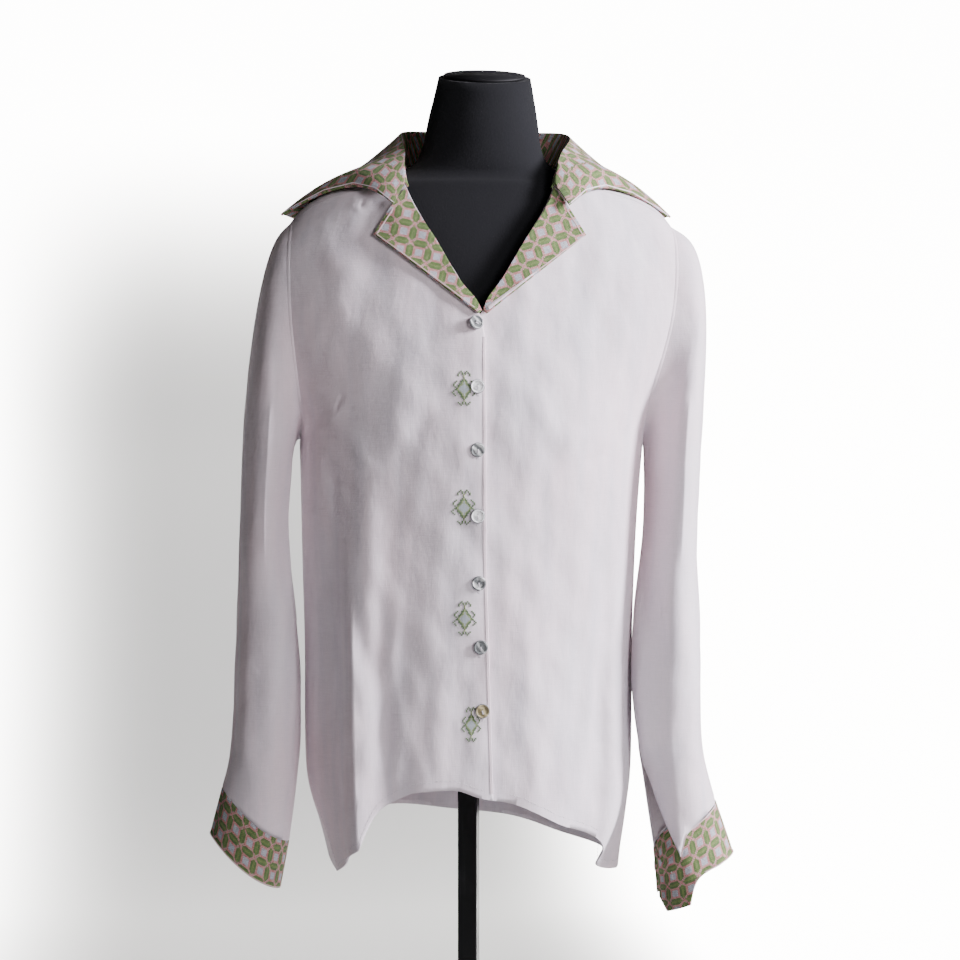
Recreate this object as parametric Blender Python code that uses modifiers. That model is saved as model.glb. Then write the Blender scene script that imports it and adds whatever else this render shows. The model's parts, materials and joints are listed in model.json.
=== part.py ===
# A linen shirt worn by a limbless dress form on a stand.
# Metres, +Z up. The origin is the centre of the base plate's underside, and the shirt's front faces -Y.
# The wearer's right is at -X.

from collections import namedtuple
from math import asin, copysign, cos, degrees, exp, pi, radians, sin

import bpy
import bmesh
from mathutils import Matrix, Vector

# Cloth
CLOTH = 0.0016
DOUBLE_CLOTH = 0.0020
SEAM_GAP = 0.0004
LAP_GAP = 0.0006

# The lower body's rings reach from the hem up to the underarm
UNDERARM = 1.2126
FULLNESS = 0.86
Ring = namedtuple("Ring", "height side front back")
BODY_RINGS = [
    Ring(0.740, 0.1650, 0.117, 0.121),
    Ring(0.850, 0.1700, 0.118, 0.119),
    Ring(0.930, 0.1718, 0.120, 0.116),
    Ring(1.000, 0.1715, 0.123, 0.113),
    Ring(1.080, 0.1740, 0.127, 0.112),
    Ring(1.150, 0.1765, 0.131, 0.114),
    Ring(UNDERARM, 0.1800, 0.134, 0.116),
]

# Angles run round the body: 0 at the centre front, 90 at the wearer's left seam, -90 at the right one
Hem = namedtuple("Hem", "angle height")
HEM_CURVE = [
    Hem(-180, 0.816), Hem(-155, 0.823), Hem(-130, 0.806), Hem(-110, 0.780), Hem(-90, 0.768),
    Hem(-68, 0.775), Hem(-52, 0.790), Hem(-48, 0.7935), Hem(-42, 0.801), Hem(-38, 0.835),
    Hem(-35, 0.8425), Hem(-27.5, 0.8526), Hem(-23, 0.8597), Hem(-14, 0.8605), Hem(-8, 0.8637),
    Hem(0, 0.853), Hem(12, 0.848), Hem(22, 0.835),
    Hem(31, 0.823), Hem(42, 0.816), Hem(52, 0.805), Hem(68, 0.778), Hem(90, 0.766),
    Hem(110, 0.774), Hem(132, 0.788), Hem(155, 0.806), Hem(180, 0.816),
]

# The largest folds: a ridge has a positive size, a trough a negative one
Fold = namedtuple("Fold", "low_angle high_angle low high size spread")
FOLDS = [
    Fold(-44, -43, 0.70, 1.20, 0.017, 8),
    Fold(-62, -60, 0.70, 1.16, -0.010, 10),
    Fold(-31, -29, 0.70, 1.10, -0.005, 6),
    Fold(-20, -17, 0.70, 1.02, 0.004, 7),
    Fold(25, 23, 0.70, 1.06, 0.004, 8),
    Fold(42, 44, 0.70, 1.14, -0.006, 8),
    Fold(58, 56, 0.70, 1.18, 0.006, 8),
    Fold(-29, -29, 1.17, 1.35, 0.007, 15),
    Fold(29, 29, 1.17, 1.35, 0.007, 15),
    Fold(122, 126, 0.70, 1.16, 0.010, 10),
    Fold(145, 146, 0.70, 1.10, -0.006, 9),
    Fold(166, 163, 0.70, 1.18, 0.009, 9),
    Fold(-124, -127, 0.70, 1.14, 0.008, 10),
    Fold(-149, -150, 0.70, 1.20, 0.010, 9),
    Fold(-169, -168, 0.70, 1.05, -0.006, 8),
]
FOLD_FADE = 0.15
FOLD_RISE = 0.06

# The hem tips at the side seams curl in towards the middle
Curl = namedtuple("Curl", "angle spread start reach size")
HEM_CURLS = [Curl(-88, 24, 0.862, 0.088, 0.027), Curl(72, 17, 0.845, 0.075, 0.030)]

# Rows above the underarm run from an inner edge to the armhole
Row = namedtuple("Row", "in_x in_y in_z out_x out_y out_z turn")
UPPER_ROWS = [
    Row(0.0000, -0.134, UNDERARM, 0.1800, -0.0003, UNDERARM, 90),
    Row(0.0000, -0.133, 1.2600, 0.1800, -0.040, 1.2430, 72),
    Row(0.0000, -0.127, 1.3030, 0.1870, -0.058, 1.2900, 60),
    Row(0.0000, -0.119, 1.3424, 0.1940, -0.062, 1.3350, 52),
    Row(0.0226, -0.1085, 1.3800, 0.1975, -0.058, 1.3720, 46),
    Row(0.0453, -0.094, 1.4200, 0.1990, -0.048, 1.4030, 42),
    Row(0.0680, -0.076, 1.4560, 0.1985, -0.035, 1.4260, 38),
    Row(0.0790, -0.050, 1.4870, 0.1970, -0.020, 1.4380, 30),
    Row(0.0855, -0.020, 1.4980, 0.2000, -0.002, 1.4405, 22),
    Row(0.0855, 0.010, 1.5045, 0.2005, 0.018, 1.4380, 22),
    Row(0.0740, 0.040, 1.5065, 0.1985, 0.036, 1.4270, 26),
    Row(0.0480, 0.062, 1.5030, 0.1950, 0.051, 1.4100, 32),
    Row(0.0000, 0.0745, 1.4990, 0.1910, 0.063, 1.3920, 38),
    Row(0.0000, 0.088, 1.4650, 0.1880, 0.070, 1.3760, 42),
    Row(0.0000, 0.100, 1.4250, 0.1860, 0.074, 1.3580, 46),
    Row(0.0000, 0.109, 1.3850, 0.1830, 0.077, 1.3220, 52),
    Row(0.0000, 0.115, 1.3300, 0.1790, 0.071, 1.2780, 60),
    Row(0.0000, 0.117, 1.2700, 0.1780, 0.048, 1.2380, 72),
    Row(0.0000, 0.116, UNDERARM, 0.1800, 0.0003, UNDERARM, 90),
]
# Rows where the seams and the neckline's end lie
YOKE_FRONT = 7
NECK_END = 12
YOKE_BACK = 14
NECK_SHIFT_ROWS = 3
LAPEL_START = 3.0
GORGE_ROW = 6.55
# The shoulder falls gently and turns down sharply at its end
SHOULDER_SLOPE = 0.62
SHOULDER_POWER = 7
# The wearer's left armhole lies further out above its underarm
LEFT_WIDER = 0.005
WIDER_START = 1.28
WIDER_SPAN = 0.07
# Fullness fades out over this share of a row next to the armhole
ARMHOLE_FADE = 0.3

# How many parts each stretch of a panel is divided into
COLUMNS = 16
LOWER_PARTS = 10
FRONT_STOPS = [0, 0.75, 1.5, 2.25, 3, 4, 5, 6, 6.65, 7]
YOKE_STOPS = [7, 7.4, 8, 9, 10, 11, 12, 13, 14]
BACK_STOPS = [14, 14.6, 15.4, 16.2, 16.8, 17.4, 18]
ROW_TRIM = 0.011
ANGLE_TRIM = degrees(SEAM_GAP / 2 / 0.17)
WELD = 0.00005

# Button line, which wanders from the wearer's right at the top to the left at the bottom
LINE_TOP = 1.300
LINE_OFFSET = -0.0075
LINE_SLOPE = 0.032
EDGE_BEYOND = 0.0085
UNDERLAP = 0.022
V_POINT = -0.003
NECK_OFFSET = -0.0055
LAP_END = 0.032
LAP_RISE = 0.016
# Row numbers between which the front edges turn from the lap to the roll lines
EDGE_TURN_START = 2.3
EDGE_TURN_SPAN = 0.8
LAP_LAST_ROW = 3.9

# The form leans a little to the wearer's left above its waist
LEAN_START = 1.10
LEAN_SPAN = 0.50
LEAN_SIZE = 0.017
LEAN_POWER = 1.2

# Lapel outline, measured sideways from the button line
LAPEL_CORNER = (0.1075, 1.4245)
LAPEL_NOTCH = (0.0900, 1.4530)
LAPEL_TIP_WIDTH = 0.004
LAPEL_CORNER_SHARE = 0.6
LAPEL_SPRING = 0.002
LAPEL_EDGE_SET = 0.0006
LAPEL_ROW_SET = 0.08
LAPEL_PARTS_LONG = 10
LAPEL_PARTS_WIDE = 5

# Collar stations from the gorge round to the centre back
Station = namedtuple("Station", "share seam_row roll_x roll_y roll_z edge_x edge_y edge_z arch")
COLLAR_STATIONS = [
    Station(0.00, -0.45, 0.0775, -0.0640, 1.4800, 0.2040, -0.006, 1.4510, 0.000),
    Station(0.10, 0.0, 0.0805, -0.0500, 1.5005, 0.2035, 0.008, 1.4535, 0.016),
    Station(0.25, 1.0, 0.0835, -0.0220, 1.5180, 0.1960, 0.030, 1.4520, 0.011),
    Station(0.42, 2.0, 0.0920, 0.0100, 1.5345, 0.1780, 0.060, 1.4470, 0.007),
    Station(0.60, 3.0, 0.0835, 0.0480, 1.5440, 0.1400, 0.090, 1.4370, 0.005),
    Station(0.80, 4.0, 0.0550, 0.0740, 1.5470, 0.0800, 0.114, 1.4320, 0.005),
    Station(1.00, 5.0, 0.0000, 0.0860, 1.5480, 0.0000, 0.122, 1.4300, 0.005),
]
# The free front edge: from the gorge down to the notch and over the shoulder to the tip
EdgePoint = namedtuple("EdgePoint", "share x y z")
COLLAR_FRONT_EDGE = [
    EdgePoint(0.00, 0.0775, -0.0640, 1.4800),
    EdgePoint(0.18, 0.0900, -0.0860, 1.4555),
    EdgePoint(0.36, 0.1090, -0.0640, 1.4730),
    EdgePoint(0.55, 0.1310, -0.0400, 1.4800),
    EdgePoint(0.74, 0.1610, -0.0250, 1.4740),
    EdgePoint(0.90, 0.1900, -0.0150, 1.4590),
    EdgePoint(1.00, 0.2040, -0.0060, 1.4510),
]
EDGE_REACH = 0.25
COLLAR_COLUMNS = [0, 0.04, 0.09, 0.15, 0.22, 0.31, 0.42, 0.52, 0.62, 0.73, 0.86, 1]
STAND_LIFT = 0.0010
ROLL_SHARE = 0.55
# The roll line swings over to the wearer's left behind the notches
ROLL_SHIFT = 0.004
ROLL_SHIFT_SHARE = 0.42
# The wearer's right leaf lies flatter and lower
LEAF_ARCH = {-1: 0.85, 1: 1.0}
LEAF_DROP = {-1: 0.001, 1: 0.0}

# Sleeves: inner and outer are distances from the part's middle, tilt lifts the outer side
SleeveRing = namedtuple("SleeveRing", "height inner outer front back tilt")
RIGHT_SLEEVE = [
    SleeveRing(1.190, 0.1880, 0.2400, -0.076, 0.082, 0.00),
    SleeveRing(1.135, 0.1910, 0.2400, -0.074, 0.078, 0.00),
    SleeveRing(1.080, 0.1850, 0.2410, -0.072, 0.072, 0.00),
    SleeveRing(1.000, 0.1765, 0.2440, -0.070, 0.060, 0.00),
    SleeveRing(0.930, 0.1750, 0.2465, -0.067, 0.050, 0.05),
    SleeveRing(0.880, 0.1780, 0.2495, -0.063, 0.044, 0.25),
    SleeveRing(0.829, 0.1870, 0.2580, -0.057, 0.037, 0.78),
    SleeveRing(0.780, 0.1960, 0.2705, -0.055, 0.039, 0.77),
]
LEFT_SLEEVE = [
    SleeveRing(1.190, 0.1865, 0.2420, -0.078, 0.080, 0.00),
    SleeveRing(1.135, 0.1885, 0.2400, -0.080, 0.070, 0.00),
    SleeveRing(1.080, 0.1830, 0.2390, -0.086, 0.058, 0.00),
    SleeveRing(1.000, 0.1735, 0.2420, -0.090, 0.042, 0.00),
    SleeveRing(0.950, 0.1725, 0.2425, -0.088, 0.036, 0.00),
    SleeveRing(0.890, 0.1785, 0.2430, -0.080, 0.032, 0.15),
    SleeveRing(0.816, 0.1930, 0.2577, -0.070, 0.026, 0.76),
    SleeveRing(0.760, 0.1975, 0.2765, -0.074, 0.034, 0.46),
]
CUFF_ROW = 6
SLEEVE_STOPS = [0, 0.6, 1.2, 1.8, 2.4, 3, 3.6, 4.2, 4.8, 5.4, 6]
CUFF_TRIM = {-1: 0.010, 1: 0.024}
CAP_PARTS = 6
CAP_OUT = {-1: 0.10, 1: 0.21}
CAP_DOWN = 0.42
CAP_GAP = 0.0006
CUFF_PARTS = 3
# The wearer's left sleeve is slit open from this row down
SLIT_TOP = 4.6
SLIT_ANGLE = 62
CUFF_OPENING = 16
# The wearer's right cuff hangs lower in front
RIGHT_DIP = 0.009
# The left cuff is folded in front, so that one part hangs below the other
FOLD_START = 30
FOLD_EDGE = (70, 79)
FOLD_DROP_SEAM = 0.020
FOLD_DROP_END = 0.018
FLAP_RISE = 0.008
FLAP_DEPTH = 0.001
FLAP_BACK = (170, 230)

# Buttons
Button = namedtuple("Button", "height offset")
FRONT_BUTTONS = [
    Button(1.3315, -0.0015), Button(1.2672, 0), Button(1.2040, 0), Button(1.1374, 0),
    Button(1.0698, 0), Button(1.0052, 0), Button(0.9406, 0),
]
BUTTON_RADIUS = 0.0072
BUTTON_HEIGHT = 0.0026
BUTTON_RIM = 0.3
BUTTON_DISH = 0.8
CUFF_BUTTON_RADIUS = 0.0055
CUFF_BUTTON_ROW = 0.45
BUTTON_SEAT = 0.0004
CUFF_BUTTON_SEAT = {-1: 0.0002, 1: 0.0001}
BUTTON_SIDES = 12

# Dress form
FORM_RINGS = [
    Ring(0.885, 0.150, 0.100, 0.096),
    Ring(0.900, 0.156, 0.106, 0.102),
    Ring(0.950, 0.158, 0.106, 0.104),
    Ring(1.020, 0.147, 0.098, 0.094),
    Ring(1.090, 0.128, 0.088, 0.080),
    Ring(1.160, 0.134, 0.098, 0.084),
    Ring(1.240, 0.150, 0.119, 0.094),
    Ring(1.310, 0.160, 0.112, 0.100),
    Ring(1.370, 0.164, 0.096, 0.098),
    Ring(1.405, 0.1655, 0.087, 0.092),
    Ring(1.430, 0.1650, 0.076, 0.083),
    Ring(1.445, 0.1640, 0.070, 0.078),
    Ring(1.462, 0.1580, 0.063, 0.072),
    Ring(1.474, 0.1460, 0.058, 0.067),
    Ring(1.483, 0.1300, 0.055, 0.064),
    Ring(1.4862, 0.1200, 0.051, 0.062),
    Ring(1.4895, 0.1100, 0.049, 0.061),
    Ring(1.4930, 0.1000, 0.048, 0.060),
    Ring(1.4960, 0.0900, 0.048, 0.059),
    Ring(1.4990, 0.0800, 0.049, 0.058),
    Ring(1.5080, 0.0680, 0.050, 0.057),
    Ring(1.525, 0.0620, 0.0505, 0.056),
    Ring(1.555, 0.0580, 0.049, 0.053),
    Ring(1.597, 0.0490, 0.044, 0.047),
]
FORM_SIDES = 28
# Long stretches of the form take rows between the rings
FORM_STOPS = [0, 0.5, 1, 1.5, 2, 2.5, 3, 3.5, 4, 4.5, 5, 5.5, 6, 6.5, 7, 7.5, 8, 9, 10, 11, 12, 13, 14, 15,
              16, 17, 18, 19, 20, 21, 21.5, 22, 23]
NECK_SLANT = 0.27
NECK_SLANT_START = 1.50
CAP_THICKNESS = 0.003
CAP_INSET = 0.006

# Stand
FLANGE_RADIUS = 0.045
FLANGE_HEIGHT = 0.006
FLANGE_SIDES = 24
POLE_SIZE = 0.020
POLE_TURN = radians(-14)
BASE_SIZE = 0.340
BASE_HEIGHT = 0.008
BASE_BEVEL = 0.0015
POLE_BEVEL = 0.0012
STAND_GAP = 0.0003

# Colours
LINEN = (0.80, 0.72, 0.75)
STITCHED = (0.50, 0.52, 0.42)
SHELL_WHITE = (0.78, 0.78, 0.76)
FORM_BLACK = (0.020, 0.021, 0.024)
STAND_BLACK = (0.012, 0.012, 0.013)


def smooth_step(value):
    value = min(max(value, 0.0), 1.0)
    return value * value * (3 - 2 * value)


def blend(first, second, share):
    return first + (second - first) * share


def curve_value(keys, values, at):
    """A smooth curve through the values, held level beyond both ends."""
    if at <= keys[0]:
        return values[0]
    if at >= keys[-1]:
        return values[-1]
    last = len(keys) - 1
    index = max(i for i in range(last) if keys[i] <= at)

    def slope(i):
        low, high = max(i - 1, 0), min(i + 1, last)
        return (values[high] - values[low]) / (keys[high] - keys[low])

    span = keys[index + 1] - keys[index]
    t = (at - keys[index]) / span
    start, end = values[index], values[index + 1]
    return (
        start * (2 * t ** 3 - 3 * t ** 2 + 1)
        + slope(index) * span * (t ** 3 - 2 * t ** 2 + t)
        + end * (3 * t ** 2 - 2 * t ** 3)
        + slope(index + 1) * span * (t ** 3 - t ** 2)
    )


def table_row(table, at, keys=None):
    """The table's row at a fractional place, as the same named columns."""
    keys = keys or list(range(len(table)))
    columns = zip(*table)
    return type(table[0])(*(curve_value(keys, column, at) for column in columns))


def ring_at(table, height):
    return table_row(table, height, [ring.height for ring in table])


def lean(point):
    """Move a point sideways with the leaning form."""
    rise = max(point.z - LEAN_START, 0) / LEAN_SPAN
    return Vector((point.x + LEAN_SIZE * rise ** LEAN_POWER, point.y, point.z))


def button_line(height):
    return LINE_OFFSET + LINE_SLOPE * max(LINE_TOP - height, 0)


def hem_height(angle):
    return curve_value([hem.angle for hem in HEM_CURVE], [hem.height for hem in HEM_CURVE], angle)


def fold_swell(angle, height):
    swell = 0
    for fold in FOLDS:
        share = (height - fold.low) / (fold.high - fold.low)
        centre = blend(fold.low_angle, fold.high_angle, share)
        ease = smooth_step((fold.high - height) / FOLD_FADE) * smooth_step((height - fold.low) / FOLD_RISE)
        swell += fold.size * ease * exp(-((angle - centre) / fold.spread) ** 2)
    return swell


def body_point(angle, height):
    """The shirt's outer surface below the underarm."""
    ring = ring_at(BODY_RINGS, height)
    turn = radians(angle)
    depth = ring.front if abs(angle) <= 90 else ring.back
    facing = -1 if abs(angle) <= 90 else 1
    point = Vector((ring.side * sin(turn), facing * depth * abs(cos(turn)) ** FULLNESS, height))
    outward = Vector((sin(turn) / ring.side, -cos(turn) / depth, 0)).normalized()
    point += outward * fold_swell(angle, height)
    for curl in HEM_CURLS:
        nearness = exp(-((angle - curl.angle) / curl.spread) ** 2)
        ease = nearness * smooth_step((curl.start - height) / curl.reach)
        point.x -= copysign(curl.size, curl.angle) * ease
    return point


def row_point(row, inner, share, side, bulge=True):
    """A point of one upper row, from its inner edge (share 0) to the armhole (share 1)."""
    turn = radians(row.turn)
    reach = row.out_x / sin(turn)
    start = asin(inner / reach)
    angle = blend(start, turn, share)
    x = reach * sin(angle)
    table_x = max(row.in_x, 0)
    level = cos(asin(table_x / reach)) ** FULLNESS
    fall = (level - cos(angle) ** FULLNESS) / (level - cos(turn) ** FULLNESS)
    along = min(max((x - table_x) / (row.out_x - table_x), 0), 1)
    drop = SHOULDER_SLOPE * along + (1 - SHOULDER_SLOPE) * along ** SHOULDER_POWER
    point = Vector((x, blend(row.in_y, row.out_y, fall), blend(row.in_z, row.out_z, drop)))
    if bulge:
        facing = -1 if row.in_y < 0 else 1
        place = side * degrees(angle)
        swell = fold_swell(place if facing < 0 else side * 180 - place, point.z)
        point.y += facing * swell * smooth_step((1 - share) / ARMHOLE_FADE)
    if side > 0:
        point.x += LEFT_WIDER * along ** 2 * smooth_step((point.z - WIDER_START) / WIDER_SPAN)
    return Vector((side * point.x, point.y, point.z))


def front_inner(side, row_index, height):
    """The front's inner edge, as a distance towards its own side."""
    line = button_line(height)
    below = side * line - UNDERLAP if side > 0 else side * line - EDGE_BEYOND
    row = table_row(UPPER_ROWS, row_index)
    above = row.in_x + side * NECK_OFFSET
    at_point = side * V_POINT
    if row_index <= LAPEL_START:
        turned = smooth_step((row_index - EDGE_TURN_START) / (LAPEL_START - EDGE_TURN_START))
        return blend(below, at_point, turned)
    return blend(at_point, above, smooth_step((row_index - LAPEL_START) / EDGE_TURN_SPAN))


def tuck(side, point, row_index):
    """How far the under front lies behind the upper one."""
    if side < 0:
        return 0
    distance = point.x - button_line(point.z)
    ease = smooth_step((LAP_END - distance) / LAP_RISE) * smooth_step(LAP_LAST_ROW - row_index)
    return (CLOTH + LAP_GAP) * ease


def front_upper(side, row_index, share):
    row = table_row(UPPER_ROWS, row_index)
    point = row_point(row, front_inner(side, row_index, row.in_z), share, side)
    point.y += tuck(side, point, row_index)
    return point


def front_lower(side, level, share):
    """Level runs from the hem (0) to the underarm (1)."""
    middle_height = blend(hem_height(0), UNDERARM, level)
    inner = front_inner(side, 0, middle_height)
    start = degrees(asin(inner / ring_at(BODY_RINGS, middle_height).side))
    angle = side * blend(start, 90 - ANGLE_TRIM, share)
    height = blend(hem_height(angle), UNDERARM, level)
    point = body_point(angle, height)
    point.y += tuck(side, point, 0)
    return point


def front_surface(side, x, height):
    """The point of a front at this place as seen from the front."""
    if height < UNDERARM:
        ring = ring_at(BODY_RINGS, height)
        point = body_point(degrees(asin(x / ring.side)), height)
        point.y += tuck(side, point, 0)
        return point
    low, high = 0.0, float(YOKE_FRONT)
    middle, share = low, 0
    for _ in range(30):
        middle = (low + high) / 2
        row = table_row(UPPER_ROWS, middle)
        reach = row.out_x / sin(radians(row.turn))
        inner = front_inner(side, middle, row.in_z)
        start = asin(inner / reach)
        place = asin(min(max(side * x / reach, -1), 1))
        share = (place - start) / (radians(row.turn) - start)
        if front_upper(side, middle, max(share, -0.5)).z < height:
            low = middle
        else:
            high = middle
    return front_upper(side, middle, max(share, -0.5))


def surface_normal(side, x, height):
    step = 0.002
    across = front_surface(side, x + step, height) - front_surface(side, x - step, height)
    upward = front_surface(side, x, height + step) - front_surface(side, x, height - step)
    return across.cross(upward).normalized()


def material(name, colour, roughness, metallic=0.0):
    made = bpy.data.materials.new(name)
    made.use_nodes = True
    shader = made.node_tree.nodes["Principled BSDF"]
    shader.inputs["Base Color"].default_value = (*colour, 1)
    shader.inputs["Roughness"].default_value = roughness
    shader.inputs["Metallic"].default_value = metallic
    made.diffuse_color = (*colour, 1)
    return made


def add_object(name, mesh, surface, smooth=True):
    made = bpy.data.objects.new(name, mesh)
    collection.objects.link(made)
    mesh.materials.append(surface)
    if smooth:
        mesh.shade_smooth()
    return made


def add_shell(name, grids, thickness, surface):
    """A cloth wall behind grids of outer points, each with rows of equal length."""
    cells = bmesh.new()
    for grid in grids:
        rows = [[cells.verts.new(lean(point)) for point in row] for row in grid]
        for lower, upper in zip(rows, rows[1:]):
            for corners in zip(lower, lower[1:], upper[1:], upper):
                cells.faces.new(corners)
    bmesh.ops.remove_doubles(cells, verts=cells.verts, dist=WELD)
    mesh = bpy.data.meshes.new(name)
    cells.to_mesh(mesh)
    cells.free()
    made = add_object(name, mesh, surface)
    wall = made.modifiers.new("Wall", "SOLIDIFY")
    wall.thickness = thickness
    wall.offset = -1
    return made


def outward_grid(side, grid):
    """The same rows, reversed on the wearer's right so that the faces look outward."""
    return [row[::-1] for row in grid] if side < 0 else grid


def build_front(name, side, surface):
    grid = []
    for part in range(LOWER_PARTS):
        level = part / LOWER_PARTS
        grid.append([front_lower(side, level, column / COLUMNS) for column in range(COLUMNS + 1)])
    for stop in FRONT_STOPS:
        row_index = min(stop, YOKE_FRONT - ROW_TRIM)
        grid.append([front_upper(side, row_index, column / COLUMNS) for column in range(COLUMNS + 1)])
    return add_shell(name, [outward_grid(side, grid)], CLOTH, surface)


def build_back(surface):
    grid = []
    for part in range(LOWER_PARTS):
        level = part / LOWER_PARTS
        row = []
        for column in range(-COLUMNS, COLUMNS + 1):
            angle = 180 - (90 - ANGLE_TRIM) * column / COLUMNS
            angle = angle if angle <= 180 else angle - 360
            row.append(body_point(angle, blend(hem_height(angle), UNDERARM, level)))
        grid.append(row)
    for stop in BACK_STOPS[::-1]:
        row = table_row(UPPER_ROWS, max(stop, YOKE_BACK + ROW_TRIM))
        places = [(-1, column) for column in range(COLUMNS, 0, -1)]
        places += [(1, column) for column in range(COLUMNS + 1)]
        grid.append([row_point(row, 0, column / COLUMNS, side) for side, column in places])
    return add_shell("back", [[row[::-1] for row in grid]], CLOTH, surface)


def neck_shift(row_index):
    """The front of the neckline sits off centre, like the button line."""
    return NECK_OFFSET * smooth_step(1 - (row_index - YOKE_FRONT) / NECK_SHIFT_ROWS)


def neck_inner(side, row_index):
    return max(table_row(UPPER_ROWS, row_index).in_x, 0) + side * neck_shift(row_index)


def build_yoke(surface):
    """Two mirrored halves that meet at the centre back, below the neckline."""
    grids = []
    for side in (-1, 1):
        grid = []
        for stop in YOKE_STOPS:
            row = table_row(UPPER_ROWS, min(max(stop, YOKE_FRONT + ROW_TRIM), YOKE_BACK - ROW_TRIM))
            inner = neck_inner(side, stop) if stop < NECK_END else 0
            shares = [column / COLUMNS for column in range(COLUMNS + 1)]
            grid.append([row_point(row, inner, share, side, False) for share in shares])
        grids.append(outward_grid(side, grid))
    return add_shell("yoke", grids, CLOTH, surface)


def armhole(side):
    """Points round the armhole, from the underarm up the front, over the shoulder and down the back."""
    points = []
    for stop in FRONT_STOPS[:-1]:
        points.append(front_upper(side, stop, 1))
    for stop in YOKE_STOPS[:-1]:
        points.append(row_point(table_row(UPPER_ROWS, stop), 0, 1, side, False))
    for stop in BACK_STOPS[:-1]:
        points.append(row_point(table_row(UPPER_ROWS, stop), 0, 1, side, False))
    return [point + Vector((side * CAP_GAP, 0, 0)) for point in points]


def sleeve_drop(side, row_index, angle):
    """How far the sleeve's end hangs below its level ring here, and how far it lies forward."""
    ease = smooth_step(row_index - CUFF_ROW + 1)
    along = min(max(row_index - CUFF_ROW, 0), 1)
    if side < 0:
        return RIGHT_DIP * ease * max(sin(radians(angle)), 0) ** 2, 0
    edge_low, edge_high = FOLD_EDGE
    hanging = smooth_step(angle / FOLD_START) * smooth_step((edge_high - angle) / (edge_high - edge_low))
    back_low, back_high = FLAP_BACK
    flap = smooth_step((angle - edge_low) / (edge_high - edge_low))
    flap *= smooth_step((back_high - angle) / (back_high - back_low))
    drop = hanging * blend(FOLD_DROP_SEAM, FOLD_DROP_END, along) * ease - FLAP_RISE * along * flap
    return drop, FLAP_DEPTH * hanging * ease


def sleeve_point(side, table, row_index, angle):
    """Angle 0 is the side next to the body, 90 the front, 180 the outer side."""
    ring = table_row(table, row_index)
    turn = radians(angle)
    middle = (ring.inner + ring.outer) / 2
    across = -cos(turn) * (ring.outer - ring.inner) / 2
    depth = -(ring.back - ring.front) / 2 * sin(turn)
    drop, forward = sleeve_drop(side, row_index, angle)
    height = ring.height + ring.tilt * across - drop
    return Vector((side * (middle + across), (ring.back + ring.front) / 2 + depth - forward, height))


def ring_angles(side):
    """Angles that follow the armhole's lengths, 0 at the underarm."""
    points = armhole(side)
    total = 0
    lengths = [0]
    for point, following in zip(points, points[1:] + points[:1]):
        total += (following - point).length
        lengths.append(total)
    return [360 * length / total for length in lengths]


def snapped(angles):
    """The same angles, with the nearest two moved to both sides of the fold."""
    edge_low, edge_high = FOLD_EDGE
    middle = (edge_low + edge_high) / 2
    first = max(index for index, angle in enumerate(angles) if angle <= middle)
    moved = list(angles)
    moved[first] = edge_low
    moved[first + 1] = edge_high
    return moved


def build_sleeve(name, side, table, slit, surface):
    top = armhole(side)
    top = top + top[:1]
    angles = ring_angles(side)
    grid = []
    for part in range(CAP_PARTS):
        t = part / CAP_PARTS
        row = []
        for start, angle in zip(top, angles):
            end = sleeve_point(side, table, 0, angle)
            span = (end - start).length
            out = start + Vector((side * CAP_OUT[side] * span, 0, 0))
            over = end + Vector((0, 0, CAP_DOWN * span))
            nearer = start * (1 - t) ** 3 + out * 3 * t * (1 - t) ** 2
            row.append(nearer + over * 3 * t * t * (1 - t) + end * t ** 3)
        grid.append(row)
    for stop in SLEEVE_STOPS:
        row_index = min(stop, CUFF_ROW - CUFF_TRIM[side])
        opening = SLIT_ANGLE * max(stop - SLIT_TOP, 0) / (CUFF_ROW - SLIT_TOP) if slit else 0
        placed = [blend(opening, 360, angle / 360) for angle in angles]
        if slit and stop > SLIT_TOP:
            placed = snapped(placed)
        grid.append([sleeve_point(side, table, row_index, angle) for angle in placed])
    return add_shell(name, [outward_grid(side, grid[::-1])], CLOTH, surface)


def build_cuff(name, side, table, opening, surface):
    angles = [blend(opening / 2, 360 - opening / 2, angle / 360) for angle in ring_angles(side)]
    if opening:
        angles = snapped(angles)
    grid = []
    for part in range(CUFF_PARTS + 1):
        row_index = CUFF_ROW + blend(CUFF_TRIM[side], 1, part / CUFF_PARTS)
        grid.append([sleeve_point(side, table, row_index, angle) for angle in angles])
    return add_shell(name, [outward_grid(side, grid[::-1])], DOUBLE_CLOTH, surface)


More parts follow.
